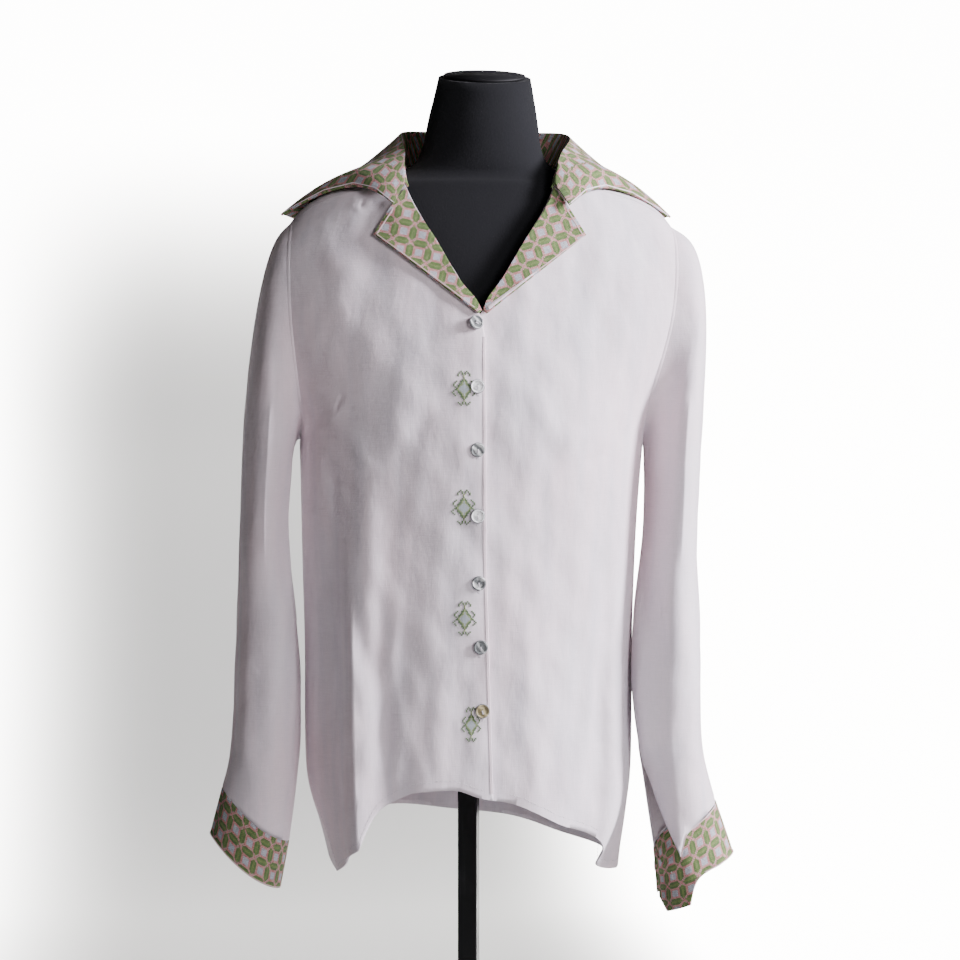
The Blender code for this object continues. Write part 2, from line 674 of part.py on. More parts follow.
def build_lapel(name, side, surface):
    """A leaf that follows the front's points, moved out by its own thickness."""
    lift = DOUBLE_CLOTH + SEAM_GAP
    grid = []
    for part in range(LAPEL_PARTS_LONG + 1):
        share = part / LAPEL_PARTS_LONG
        row_index = blend(LAPEL_START + LAPEL_ROW_SET, GORGE_ROW, share)
        row = table_row(UPPER_ROWS, row_index)
        inner = front_inner(side, row_index, row.in_z)
        if share <= LAPEL_CORNER_SHARE:
            reach = share / LAPEL_CORNER_SHARE
            outer_x = blend(side * V_POINT + LAPEL_TIP_WIDTH, side * NECK_OFFSET + LAPEL_CORNER[0], reach)
            outer_z = blend(UPPER_ROWS[3].in_z, LAPEL_CORNER[1], reach)
        else:
            reach = (share - LAPEL_CORNER_SHARE) / (1 - LAPEL_CORNER_SHARE)
            outer_x = side * NECK_OFFSET + blend(LAPEL_CORNER[0], LAPEL_NOTCH[0], reach)
            outer_z = blend(LAPEL_CORNER[1], LAPEL_NOTCH[1], reach)
        points = []
        for column in range(LAPEL_PARTS_WIDE + 1):
            across = column / LAPEL_PARTS_WIDE
            x = side * blend(inner + LAPEL_EDGE_SET, outer_x, across)
            z = blend(row.in_z, outer_z, across)
            point = front_surface(side, x, z)
            outward = surface_normal(side, x, z)
            points.append(point + outward * (lift + LAPEL_SPRING * across))
        grid.append(points)
    return add_shell(name, [outward_grid(side, grid)], DOUBLE_CLOTH, surface)


def collar_half(side, share):
    """Section points of the collar at one share of the way to the centre back."""
    keys = [station.share for station in COLLAR_STATIONS]
    station = table_row(COLLAR_STATIONS, share, keys)
    row = table_row(UPPER_ROWS, YOKE_FRONT + station.seam_row)
    seam = Vector((max(row.in_x, 0), row.in_y, row.in_z + STAND_LIFT))
    roll = Vector((station.roll_x, station.roll_y, station.roll_z))
    edge = Vector((station.edge_x, station.edge_y, station.edge_z))
    points = [seam, seam.lerp(roll, ROLL_SHARE)]
    first = COLLAR_STATIONS[0]
    corner_roll = Vector((first.roll_x, first.roll_y, first.roll_z))
    corner_edge = Vector((first.edge_x, first.edge_y, first.edge_z))
    ease = max(1 - share / EDGE_REACH, 0) ** 2
    for place in COLLAR_FRONT_EDGE:
        t = place.share
        arch = station.arch * LEAF_ARCH[side] * 4 * t * (1 - t)
        rise = Vector((0, 0, arch - LEAF_DROP[side] * smooth_step(t / COLLAR_FRONT_EDGE[2].share - 0.5)))
        dent = Vector((place.x, place.y, place.z)) - corner_roll.lerp(corner_edge, t)
        points.append(roll.lerp(edge, t) + rise + dent * ease)
    seam_shift = neck_shift(YOKE_FRONT + station.seam_row)
    roll_shift = blend(NECK_OFFSET, ROLL_SHIFT, smooth_step(share / ROLL_SHIFT_SHARE))
    shifts = [seam_shift, blend(seam_shift, roll_shift, ROLL_SHARE)]
    shifts += [roll_shift * (1 - place.share / 2) for place in COLLAR_FRONT_EDGE]
    return [Vector((side * point.x + shift, point.y, point.z)) for point, shift in zip(points, shifts)]


def build_collar(surface):
    right = [collar_half(-1, share) for share in COLLAR_COLUMNS]
    left = [collar_half(1, share) for share in COLLAR_COLUMNS]
    return add_shell("collar", [right + left[-2::-1]], DOUBLE_CLOTH, surface)


def form_row(ring, lift=0.0):
    points = []
    slant_share = (ring.height - NECK_SLANT_START) / (FORM_RINGS[-1].height - NECK_SLANT_START)
    for index in range(FORM_SIDES):
        turn = 2 * pi * index / FORM_SIDES
        depth = ring.front if cos(turn) > 0 else ring.back
        y = -depth * cos(turn)
        slant = NECK_SLANT * y * smooth_step(slant_share)
        points.append(lean(Vector((ring.side * sin(turn), y, ring.height + slant + lift))))
    return points


def add_stack(name, rings, surface, smooth):
    """A closed body over rings of points, from the lowest to the highest."""
    cells = bmesh.new()
    rows = [[cells.verts.new(point) for point in ring] for ring in rings]
    for lower, upper in zip(rows, rows[1:]):
        for index in range(FORM_SIDES):
            following = (index + 1) % FORM_SIDES
            cells.faces.new((lower[index], lower[following], upper[following], upper[index]))
    cells.faces.new(rows[0][::-1])
    cells.faces.new(rows[-1])
    mesh = bpy.data.meshes.new(name)
    cells.to_mesh(mesh)
    cells.free()
    made = add_object(name, mesh, surface, smooth)
    if smooth:
        mesh.set_sharp_from_angle(angle=radians(40))
    return made


def build_form(surface, cap_surface):
    add_stack("form_torso", [form_row(table_row(FORM_RINGS, stop)) for stop in FORM_STOPS], surface, True)
    top = FORM_RINGS[-1]
    inset = Ring(top.height, top.side - CAP_INSET, top.front - CAP_INSET, top.back - CAP_INSET)
    lifts = (STAND_GAP, STAND_GAP + CAP_THICKNESS)
    add_stack("neck_cap", [form_row(inset, lift) for lift in lifts], cap_surface, False)


def turned_button(name, radius, place, outward, seat, surface):
    """A disc with a soft rim, from a profile turned about its own Z."""
    rim = BUTTON_HEIGHT * BUTTON_RIM
    dish = BUTTON_HEIGHT * BUTTON_DISH
    profile = [
        (0, dish), (radius * 0.62, dish), (radius * 0.8, BUTTON_HEIGHT),
        (radius - rim, BUTTON_HEIGHT), (radius, BUTTON_HEIGHT - rim), (radius - rim, 0), (0, 0),
    ]
    mesh = bpy.data.meshes.new(name)
    edges = [(index, index + 1) for index in range(len(profile) - 1)]
    mesh.from_pydata([(x, 0, z) for x, z in profile], edges, [])
    made = bpy.data.objects.new(name, mesh)
    collection.objects.link(made)
    mesh.materials.append(surface)
    screw = made.modifiers.new("Turn", "SCREW")
    screw.steps = BUTTON_SIDES
    screw.render_steps = BUTTON_SIDES
    screw.use_merge_vertices = True
    screw.merge_threshold = WELD
    made.location = place + outward * seat
    made.rotation_euler = outward.to_track_quat("Z", "Y").to_euler()
    return made


def build_buttons(surface):
    for index, button in enumerate(FRONT_BUTTONS):
        x = button_line(button.height) + button.offset
        place = lean(front_surface(-1, x, button.height))
        outward = surface_normal(-1, x, button.height)
        turned_button("button_%d" % (index + 1), BUTTON_RADIUS, place, outward, BUTTON_SEAT, surface)


def cuff_button(name, side, table, angle, surface):
    row_index = CUFF_ROW + CUFF_BUTTON_ROW
    place = sleeve_point(side, table, row_index, angle)
    around = sleeve_point(side, table, row_index, angle + 2) - sleeve_point(side, table, row_index, angle - 2)
    along = sleeve_point(side, table, CUFF_ROW, angle) - place
    outward = side * around.cross(along).normalized()
    return turned_button(name, CUFF_BUTTON_RADIUS, lean(place), outward, CUFF_BUTTON_SEAT[side], surface)


def block(name, size, centre, bevel, surface):
    cells = bmesh.new()
    bmesh.ops.create_cube(cells, size=1, matrix=Matrix.Diagonal((*size, 1)))
    mesh = bpy.data.meshes.new(name)
    cells.to_mesh(mesh)
    cells.free()
    made = add_object(name, mesh, surface, False)
    made.location = centre
    made.rotation_euler = (0, 0, POLE_TURN)
    rounding = made.modifiers.new("Edges", "BEVEL")
    rounding.width = bevel
    rounding.segments = 2


def build_stand(surface):
    flange_top = FORM_RINGS[0].height - STAND_GAP
    cells = bmesh.new()
    bmesh.ops.create_cone(cells, cap_ends=True, segments=FLANGE_SIDES, radius1=FLANGE_RADIUS,
                          radius2=FLANGE_RADIUS, depth=FLANGE_HEIGHT)
    mesh = bpy.data.meshes.new("flange")
    cells.to_mesh(mesh)
    cells.free()
    flange = add_object("flange", mesh, surface, False)
    flange.location = (0, 0, flange_top - FLANGE_HEIGHT / 2)
    pole_top = flange_top - FLANGE_HEIGHT - STAND_GAP
    pole_bottom = BASE_HEIGHT + STAND_GAP
    pole_size = (POLE_SIZE, POLE_SIZE, pole_top - pole_bottom)
    block("pole", pole_size, (0, 0, (pole_top + pole_bottom) / 2), POLE_BEVEL, surface)
    block("base_plate", (BASE_SIZE, BASE_SIZE, BASE_HEIGHT), (0, 0, BASE_HEIGHT / 2), BASE_BEVEL, surface)


for leftover in list(bpy.data.objects):
    bpy.data.objects.remove(leftover)
collection = bpy.data.collections.new("linen_shirt_on_dress_form")
bpy.context.scene.collection.children.link(collection)

linen = material("linen", LINEN, 0.85)
stitched = material("stitched_cloth", STITCHED, 0.9)
shell_white = material("shell_button", SHELL_WHITE, 0.25)
form_cloth = material("form_cover", FORM_BLACK, 0.8)
black_paint = material("black_paint", STAND_BLACK, 0.45)

build_front("front_right", -1, linen)
build_front("front_left", 1, linen)
build_back(linen)
build_yoke(linen)
build_sleeve("sleeve_right", -1, RIGHT_SLEEVE, False, linen)
build_sleeve("sleeve_left", 1, LEFT_SLEEVE, True, linen)
build_cuff("cuff_right", -1, RIGHT_SLEEVE, 0, stitched)
build_cuff("cuff_left", 1, LEFT_SLEEVE, CUFF_OPENING, stitched)
build_collar(stitched)
build_lapel("lapel_right", -1, stitched)
build_lapel("lapel_left", 1, stitched)
build_buttons(shell_white)
cuff_button("cuff_button_right", -1, RIGHT_SLEEVE, 300, shell_white)
cuff_button("cuff_button_left", 1, LEFT_SLEEVE, 340, shell_white)
build_form(form_cloth, black_paint)
build_stand(black_paint)
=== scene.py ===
# A linen shirt with cross-stitched collar, lapels and cuffs, worn by a limbless dress form on a stand.
# Metres, +Z up, the buttoned front faces -Y and the wearer's right is at -X.
import json
from math import atan2, cos, exp, hypot, pi, radians, sin

import bmesh
import bpy
import numpy as np
from mathutils import Matrix, Vector
from mathutils.bvhtree import BVHTree

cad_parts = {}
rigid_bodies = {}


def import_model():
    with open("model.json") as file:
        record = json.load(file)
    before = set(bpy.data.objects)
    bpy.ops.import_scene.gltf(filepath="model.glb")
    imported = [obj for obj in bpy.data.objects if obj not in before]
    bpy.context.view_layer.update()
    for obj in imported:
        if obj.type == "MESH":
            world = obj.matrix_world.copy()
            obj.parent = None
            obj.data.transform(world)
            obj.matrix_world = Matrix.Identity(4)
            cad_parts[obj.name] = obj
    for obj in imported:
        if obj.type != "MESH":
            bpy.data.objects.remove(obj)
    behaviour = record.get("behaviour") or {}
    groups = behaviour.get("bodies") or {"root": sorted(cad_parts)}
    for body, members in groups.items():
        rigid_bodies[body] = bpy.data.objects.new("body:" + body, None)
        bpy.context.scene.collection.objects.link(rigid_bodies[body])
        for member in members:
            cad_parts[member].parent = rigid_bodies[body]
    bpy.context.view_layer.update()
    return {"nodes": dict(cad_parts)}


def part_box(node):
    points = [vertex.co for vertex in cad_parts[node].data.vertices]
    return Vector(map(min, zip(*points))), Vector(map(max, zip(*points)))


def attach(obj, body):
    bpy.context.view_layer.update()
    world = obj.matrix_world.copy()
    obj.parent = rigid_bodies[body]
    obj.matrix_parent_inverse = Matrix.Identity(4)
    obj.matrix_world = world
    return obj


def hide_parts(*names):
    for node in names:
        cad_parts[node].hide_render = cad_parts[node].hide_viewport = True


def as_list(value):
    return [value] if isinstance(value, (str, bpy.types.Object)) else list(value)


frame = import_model()
print("frame loaded")


def deselectAll():
    if bpy.context.object and bpy.context.object.mode != "OBJECT":
        bpy.ops.object.mode_set(mode="OBJECT")
    bpy.ops.object.select_all(action="DESELECT")


def pick(piece):
    deselectAll()
    piece.select_set(True)
    bpy.context.view_layer.objects.active = piece


def applyAll(piece):
    pick(piece)
    for modifier in list(piece.modifiers):
        bpy.ops.object.modifier_apply(modifier=modifier.name)


def settle(piece):
    # the finished object sits at the origin, with its place in its mesh
    pick(piece)
    bpy.ops.object.transform_apply(location=True, rotation=True, scale=True)


def named(name, surface=None):
    piece = bpy.context.object
    piece.name = name
    piece.data.name = name
    if surface:
        piece.data.materials.clear()
        piece.data.materials.append(surface)
    return piece


def smoothByAngle(piece, degrees):
    pick(piece)
    bpy.ops.object.shade_smooth_by_angle(angle=radians(degrees))


def roundEdges(piece, width, segments):
    rounding = piece.modifiers.new("Edge", "BEVEL")
    rounding.width = width
    rounding.segments = segments
    return rounding


def smoothStep(value):
    value = min(max(value, 0.0), 1.0)
    return value * value * (3 - 2 * value)


def treeOf(*pieces):
    cells = bmesh.new()
    for piece in pieces:
        cells.from_mesh(piece.data)
    tree = BVHTree.FromBMesh(cells)
    cells.free()
    return tree


def surfaceHit(tree, x, z, toward=1):
    # the first surface seen from the front at this place, or from the back where toward is -1
    place, normal, _, _ = tree.ray_cast(Vector((x, -0.6 * toward, z)), Vector((0, toward, 0)))
    return place, normal


def lengthsAlong(places):
    lengths = [0.0]
    for first, second in zip(places, places[1:]):
        lengths.append(lengths[-1] + (second - first).length)
    return lengths


def linked(name, data):
    made = bpy.data.objects.new(name, data)
    bpy.context.scene.collection.objects.link(made)
    return made


def finishPiece(piece):
    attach(piece, "root")
    return piece


class Wire:
    # an output of a shader node, with maths written as plain expressions
    def __init__(self, recipe, socket):
        self.recipe = recipe
        self.socket = socket


def wireMethod(operation, swapped):
    def method(self, *others):
        return self.recipe.maths(operation, *((*others, self) if swapped else (self, *others)))
    return method


wireOperations = {
    "__add__": "ADD", "__radd__": "ADD", "__sub__": "SUBTRACT", "__rsub__": "SUBTRACT", "__mul__": "MULTIPLY",
    "__truediv__": "DIVIDE", "__lt__": "LESS_THAN", "__gt__": "GREATER_THAN", "floor": "FLOOR", "fract": "FRACT",
    "size": "ABSOLUTE", "larger": "MAXIMUM", "smaller": "MINIMUM",
}
for methodName, operation in wireOperations.items():
    setattr(Wire, methodName, wireMethod(operation, methodName.startswith("__r")))


class Recipe:
    # one material and the nodes that feed its shader
    def __init__(self, name, **constants):
        self.material = bpy.data.materials.new(name)
        self.material.use_nodes = True
        self.nodes = self.material.node_tree.nodes
        self.links = self.material.node_tree.links
        self.shader = self.nodes["Principled BSDF"]
        for socketName, value in constants.items():
            socket = self.shader.inputs[socketName.replace("_", " ")]
            socket.default_value = (*value, 1) if socket.type == "RGBA" and len(value) == 3 else value

    def node(self, kind, settings=None, inputs=None, output=0):
        made = self.nodes.new(kind)
        for setting, value in (settings or {}).items():
            if setting == "stops":
                ramp = made.color_ramp.elements
                while len(ramp) < len(value):
                    ramp.new(0.5)
                for element, (place, colour) in zip(ramp, value):
                    element.position = place
                    element.color = (*colour, 1)
            else:
                setattr(made, setting, value)
        for key, value in (inputs or {}).items():
            if isinstance(value, Wire):
                self.links.new(value.socket, made.inputs[key])
            else:
                made.inputs[key].default_value = value
        return Wire(self, made.outputs[output])

    def maths(self, operation, *values):
        return self.node("ShaderNodeMath", {"operation": operation}, dict(enumerate(values)))

    def mix(self, factor, first, second, way="MIX"):
        # colours only
        def colour(value):
            return value if isinstance(value, Wire) else (*value, 1)
        return self.node("ShaderNodeMix", {"data_type": "RGBA", "blend_type": way},
                         {0: factor, 6: colour(first), 7: colour(second)}, 2)

    def place(self, scale=(1, 1, 1), source="Object", turn=(0, 0, 0)):
        outputs = {"Object": 3, "UV": 2}
        coordinates = self.node("ShaderNodeTexCoord", output=outputs[source])
        return self.node("ShaderNodeMapping", {}, {0: coordinates, 2: turn, 3: scale})

    def mask(self, value, low, high, bottom=0.0):
        # from the bottom level to white between two values
        return self.node("ShaderNodeValToRGB", {"stops": [(low, (bottom,) * 3), (high, (1, 1, 1))]}, {0: value})

    def axes(self, source="Object"):
        split = self.nodes.new("ShaderNodeSeparateXYZ")
        self.links.new(self.place(source=source).socket, split.inputs[0])
        return [Wire(self, output) for output in split.outputs]

    def noise(self, where, scale, detail=2.0, roughness=0.5):
        return self.node("ShaderNodeTexNoise", {}, {"Vector": where, "Scale": scale, "Detail": detail,
                                                    "Roughness": roughness})

    def bump(self, height, strength, distance):
        return self.node("ShaderNodeBump", {}, {"Strength": strength, "Distance": distance, "Height": height})

    def feed(self, **wires):
        for socketName, wire in wires.items():
            self.links.new(wire.socket, self.shader.inputs[socketName.replace("_", " ")])


linenLook = {
    "lit": (0.820, 0.755, 0.798),
    "warm": (0.840, 0.710, 0.750),
    "grey": (0.640, 0.610, 0.665),
    "roughness": 0.88,
    "threadsPerMetre": 1500,
    "mottle": 8,
    "streaks": 0.5,
    "relief": 0.0056,
}


def makeLinen(name, look, tint=None):
    recipe = Recipe(name, Roughness=look["roughness"], Sheen_Weight=0.25, Sheen_Roughness=0.5,
                    Specular_IOR_Level=0.2)
    count = look["threadsPerMetre"]
    warp = recipe.noise(recipe.place((count, count, count * 0.045)), 1.0, 3.0, 0.6)
    weft = recipe.noise(recipe.place((count * 0.045, count * 0.045, count)), 1.0, 3.0, 0.6)
    weave = warp * 0.5 + weft * 0.5
    clouds = recipe.noise(recipe.place((1, 1, 0.6)), look["mottle"], 3.0, 0.55)
    streaks = recipe.noise(recipe.place((60, 60, 5)), 1.0, 2.0, 0.5)
    colour = recipe.mix(recipe.mask(clouds, 0.38, 0.66), tint or look["lit"], look["warm"])
    colour = recipe.mix(recipe.mask(streaks, 0.45, 0.75) * look["streaks"], colour, look["grey"])
    colour = recipe.mix(1.0, colour, recipe.mask(weave, 0.35, 0.62, 0.90), "MULTIPLY")
    creases = recipe.noise(recipe.place((1, 1, 0.45)), 42.0, 3.0, 0.55)
    crumple = recipe.noise(recipe.place((1, 1, 0.7)), 14.0, 2.0, 0.5)
    dents = recipe.noise(recipe.place((1, 0.5, 0.55), turn=(0, 0.5, 0)), 26.0, 2.0, 0.5)
    height = weave * 0.07 + creases * 0.35 + crumple * 1.5 + dents * 0.8
    recipe.feed(Base_Color=colour, Normal=recipe.bump(height, 0.6, look["relief"]))
    return recipe.material


stitchLook = {
    "ground": (0.520, 0.365, 0.330),
    "square": (0.500, 0.535, 0.590),
    "pink": (0.660, 0.265, 0.260),
    "green": (0.115, 0.190, 0.070),
    "yellower": (0.245, 0.310, 0.110),
    "pitch": 0.019,
    "stitchesInPitch": 16,
    "squareReach": 0.20,
    "outlineReach": 0.32,
    "barReach": 0.43,
}


def makeStitched(name, look):
    # a lattice of pale squares, pink outlines and green bars in small cross-stitches, on a UV map in metres
    recipe = Recipe(name, Roughness=0.9, Sheen_Weight=0.1, Specular_IOR_Level=0.15)
    pitch = look["pitch"]
    stitch = pitch / look["stitchesInPitch"]
    acrossRaw, alongRaw, _ = recipe.axes("UV")
    across = ((acrossRaw / stitch).floor() + 0.5) * (stitch / pitch)
    along = ((alongRaw / stitch).floor() + 0.5) * (stitch / pitch)
    fromMiddleX = ((across + 0.5).fract() - 0.5).size()
    fromMiddleY = ((along + 0.5).fract() - 0.5).size()
    fromEdgeX, fromEdgeY = 0.5 - fromMiddleX, 0.5 - fromMiddleY
    reach = fromMiddleX.larger(fromMiddleY)
    square = reach < look["squareReach"]
    outline = (reach < look["outlineReach"]) - square
    leafAcross = (fromMiddleX + fromEdgeY * 1.2) < look["barReach"]
    leafAlong = (fromMiddleY + fromEdgeX * 1.2) < look["barReach"]
    bars = leafAcross.larger(leafAlong) * (reach > look["outlineReach"])
    diagonal = ((fromEdgeX - fromEdgeY).size() < 0.04) * (reach > look["outlineReach"]) * (1 - bars)
    vein = bars * (fromEdgeX.smaller(fromEdgeY) < 0.05)
    uneven = recipe.noise(recipe.place(source="UV"), 330.0, 3.0, 0.65)
    spot = recipe.node("ShaderNodeCombineXYZ", {}, {0: across, 1: along})
    grain = recipe.node("ShaderNodeTexWhiteNoise", {}, {"Vector": spot})
    green = recipe.mix(vein * 0.45 + uneven * 0.4, look["green"], look["yellower"])
    colour = recipe.mix(bars, look["ground"], green)
    colour = recipe.mix((1 - bars - square) * (grain > 0.72) * 0.6, colour, look["green"])
    colour = recipe.mix(outline * (0.25 + grain * 0.75), colour, look["pink"])
    colour = recipe.mix(diagonal * 0.85, colour, look["pink"])
    colour = recipe.mix(square * (1.15 - uneven * 0.5), colour, look["square"])
    stitchX = ((acrossRaw / stitch).fract() - 0.5).size()
    stitchY = ((alongRaw / stitch).fract() - 0.5).size()
    turns = ((across + along) * (look["stitchesInPitch"] / 2)).fract() > 0.25
    holes = stitchX.larger(stitchY) > 0.38
    # darker in the gaps between stitches as painted shade; the random and checkered darkening per stitch is the
    # threads' own tone
    shade = 1.22 - holes * 0.24 - grain * 0.34 - turns * 0.20
    shadeColour = recipe.node("ShaderNodeCombineColor", {}, {0: shade, 1: shade, 2: shade})
    colour = recipe.mix(1.0, colour, shadeColour, "MULTIPLY")
    cross = (stitchX - stitchY).size()
    height = (1.0 - cross * 1.6) * (1.0 - holes * 0.7) + bars * 0.4 + square * 0.3 + uneven * 0.6
    recipe.feed(Base_Color=colour, Normal=recipe.bump(height, 0.6, 0.0006))
    return recipe.material


def makeThread(name, colour):
    recipe = Recipe(name, Roughness=0.65, Sheen_Weight=0.2)
    twist = recipe.noise(recipe.place(), 900.0, 2.0)
    darker = tuple(value * 0.75 for value in colour)
    recipe.feed(Base_Color=recipe.mix(twist, darker, colour), Normal=recipe.bump(twist, 0.4, 0.0004))
    return recipe.material


shellLook = {"pale": (0.97, 0.97, 0.96), "middle": (0.60, 0.62, 0.60), "grey": (0.15, 0.16, 0.16),
             "roughness": 0.24}
goldLook = {"pale": (0.60, 0.51, 0.28), "middle": (0.36, 0.31, 0.17), "grey": (0.17, 0.14, 0.07), "roughness": 0.24}


def makeShell(name, look, tone):
    # mother-of-pearl: cloudy bands, glossy
    recipe = Recipe(name, Coat_Weight=0.6, Coat_Roughness=0.12, IOR=1.53)
    bands = recipe.node("ShaderNodeTexWave", {"bands_direction": "DIAGONAL"},
                        {0: recipe.place(), "Scale": 55.0, "Distortion": 6.0, "Detail": 3.0})
    clouds = recipe.noise(recipe.place(), 160.0, 3.0)
    pattern = bands * 0.55 + clouds * 0.45 + tone
    colour = recipe.node("ShaderNodeValToRGB", {"stops": [(0.42, look["pale"]), (0.66, look["middle"]),
                                                          (0.92, look["grey"])]}, {0: pattern})
    recipe.feed(Base_Color=colour, Roughness=clouds * 0.15 + look["roughness"],
                Normal=recipe.bump(clouds, 0.15, 0.0003))
    return recipe.material


coverLook = {"black": (0.0085, 0.0088, 0.0102), "worn": (0.0135, 0.0138, 0.0155)}


def makeCover(name, look):
    # the form's black knitted cover
    recipe = Recipe(name, Roughness=0.95, Sheen_Weight=0.03, Sheen_Roughness=0.6, Specular_IOR_Level=0.08)
    ribs = recipe.noise(recipe.place((900, 900, 300)), 1.0, 2.0)
    clouds = recipe.noise(recipe.place(), 11.0, 3.0)
    colour = recipe.mix(clouds, look["black"], look["worn"])
    recipe.feed(Base_Color=colour, Normal=recipe.bump(ribs + clouds * 0.6, 0.35, 0.0006))
    return recipe.material


paintLook = {"black": (0.0035, 0.0035, 0.0038), "scuffed": (0.012, 0.012, 0.013)}


def makePaint(name, look, roughness=0.42):
    # satin black paint on steel, scuffed in places
    recipe = Recipe(name, Metallic=0.0, Specular_IOR_Level=0.25)
    clouds = recipe.noise(recipe.place(), 24.0, 4.0, 0.6)
    scratches = recipe.noise(recipe.place((400, 400, 14)), 1.0, 3.0)
    mask = recipe.mask(clouds * 0.5 + scratches * 0.5, 0.56, 0.72)
    peel = recipe.noise(recipe.place(), 420.0, 2.0)
    recipe.feed(Base_Color=recipe.mix(mask, look["black"], look["scuffed"]),
                Roughness=clouds * 0.22 + (roughness - 0.1), Normal=recipe.bump(peel, 0.12, 0.0004))
    return recipe.material


linen = makeLinen("linen cloth", linenLook)
stitched = makeStitched("cross-stitched cloth", stitchLook)
pinkEdge = makeLinen("pale pink linen edge", {**linenLook, "warm": (0.95, 0.80, 0.84)}, (0.93, 0.76, 0.81))
pinkThread = makeThread("pink edging thread", (0.78, 0.55, 0.55))
# painted shade for the walls and floor of the button holes
holeShade = makeThread("painted shade in button holes", (0.16, 0.155, 0.15))
seamThread = makeThread("pale sewing thread", (0.66, 0.62, 0.65))
greenThread = makeThread("green embroidery thread", (0.145, 0.220, 0.105))
limeThread = makeThread("yellow-green embroidery thread", (0.40, 0.46, 0.22))
greyThread = makeThread("pale blue-grey embroidery thread", (0.52, 0.57, 0.60))
whiteThread = makeThread("white thread", (0.80, 0.79, 0.77))
shell = makeShell("pale shell", shellLook, -0.20)
greyShell = makeShell("greyer shell", shellLook, 0.26)
darkShell = makeShell("darker shell", shellLook, 0.48)
# darker shell for the button sides: partly the shell's darker back, partly painted shade under the rim
rimShellWithShade = makeShell("shell rim with painted shade", shellLook, 0.60)
goldShell = makeShell("yellowish shell", goldLook, 0.20)
formCover = makeCover("black knit cover", coverLook)
standPaint = makePaint("satin black paint", paintLook)
capPaint = makePaint("matt black cap", {"black": (0.004, 0.004, 0.005), "scuffed": (0.012, 0.012, 0.014)}, 0.6)
print("materials made")


def smoothCopy(node, name, surface, levels=2, sharp=55, corner=None):
    # a merged and subdivided copy that stands for its solid
    source = frame["nodes"][node]
    piece = linked(name, source.data.copy())
    piece.data.name = name
    pick(piece)
    bpy.ops.object.mode_set(mode="EDIT")
    bpy.ops.mesh.select_all(action="SELECT")
    bpy.ops.mesh.remove_doubles(threshold=0.00002)
    bpy.ops.mesh.tris_convert_to_quads(face_threshold=radians(50), shape_threshold=radians(60))
    bpy.ops.object.mode_set(mode="OBJECT")
    cells = bmesh.new()
    cells.from_mesh(piece.data)
    crease = cells.edges.layers.float.get("crease_edge") or cells.edges.layers.float.new("crease_edge")
    for edge in cells.edges:
        if len(edge.link_faces) == 2 and edge.calc_face_angle(0) > radians(sharp):
            edge[crease] = 1.0
    if corner:
        keep = cells.verts.layers.float.get("crease_vert") or cells.verts.layers.float.new("crease_vert")
        for vertex in cells.verts:
            ends = [edge.other_vert(vertex).co - vertex.co for edge in vertex.link_edges if edge[crease] == 1.0]
            if len(ends) == 2 and ends[0].angle(-ends[1]) > radians(corner):
                vertex[keep] = 0.9
    cells.to_mesh(piece.data)
    cells.free()
    piece.data.materials.clear()
    piece.data.materials.append(surface)
    if levels:
        smoothing = piece.modifiers.new("Smooth", "SUBSURF")
        smoothing.levels = levels
        smoothing.render_levels = levels
        applyAll(piece)
    smoothByAngle(piece, 45)
    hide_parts(node)
    return finishPiece(piece)


# Soft troughs and ridges, as lines on the picture side: two ends (x, z), height and half width. A trough is negative
frontFolds = [
    (-0.150, 1.19, -0.117, 1.00, -0.0035, 0.011),
    (-0.100, 1.06, -0.096, 0.88, -0.0030, 0.010),
    (-0.084, 1.02, -0.079, 0.86, 0.0022, 0.008),
    (-0.060, 1.00, -0.050, 0.87, -0.0018, 0.010),
    (-0.118, 1.21, -0.104, 1.06, 0.0030, 0.012),
    (-0.172, 1.224, -0.139, 1.253, -0.0022, 0.0022),
    (-0.170, 1.219, -0.137, 1.248, 0.0016, 0.0040),
    (-0.165, 1.205, -0.128, 1.160, -0.0030, 0.007),
    (-0.150, 1.245, -0.110, 1.190, 0.0022, 0.008),
    (0.135, 1.06, 0.125, 0.80, -0.0030, 0.010),
    (0.118, 1.05, 0.108, 0.83, 0.0024, 0.010),
    (0.085, 1.02, 0.075, 0.86, -0.0022, 0.012),
    (0.050, 1.00, 0.058, 0.87, 0.0016, 0.010),
    (0.160, 1.225, 0.110, 1.185, -0.0024, 0.008),
    (0.150, 1.250, 0.100, 1.215, 0.0020, 0.009),
    (0.030, 1.12, 0.060, 1.02, -0.0014, 0.012),
    (-0.035, 1.26, -0.075, 1.20, -0.0014, 0.012),
    (0.050, 1.27, 0.090, 1.20, 0.0014, 0.014),
    (0.100, 1.385, 0.130, 1.330, -0.0014, 0.012),
    (-0.095, 1.400, -0.100, 1.330, -0.0016, 0.014),
    (-0.119, 1.471, -0.113, 1.456, -0.0026, 0.0030),
    (-0.125, 1.469, -0.119, 1.450, 0.0014, 0.0040),
    (-0.145, 1.40, -0.135, 1.33, 0.0014, 0.012),
]
backFolds = [
    (-0.120, 1.18, -0.110, 0.86, -0.0030, 0.012),
    (-0.060, 1.10, -0.070, 0.84, 0.0030, 0.013),
    (-0.020, 1.02, -0.015, 0.84, -0.0022, 0.011),
    (0.040, 1.12, 0.030, 0.85, 0.0026, 0.012),
    (0.090, 1.16, 0.100, 0.84, -0.0030, 0.012),
    (0.140, 1.10, 0.135, 0.82, 0.0024, 0.010),
    (-0.130, 1.33, -0.080, 1.26, 0.0020, 0.012),
    (0.130, 1.34, 0.085, 1.27, -0.0020, 0.012),
    (0.000, 1.30, 0.020, 1.20, -0.0014, 0.016),
]


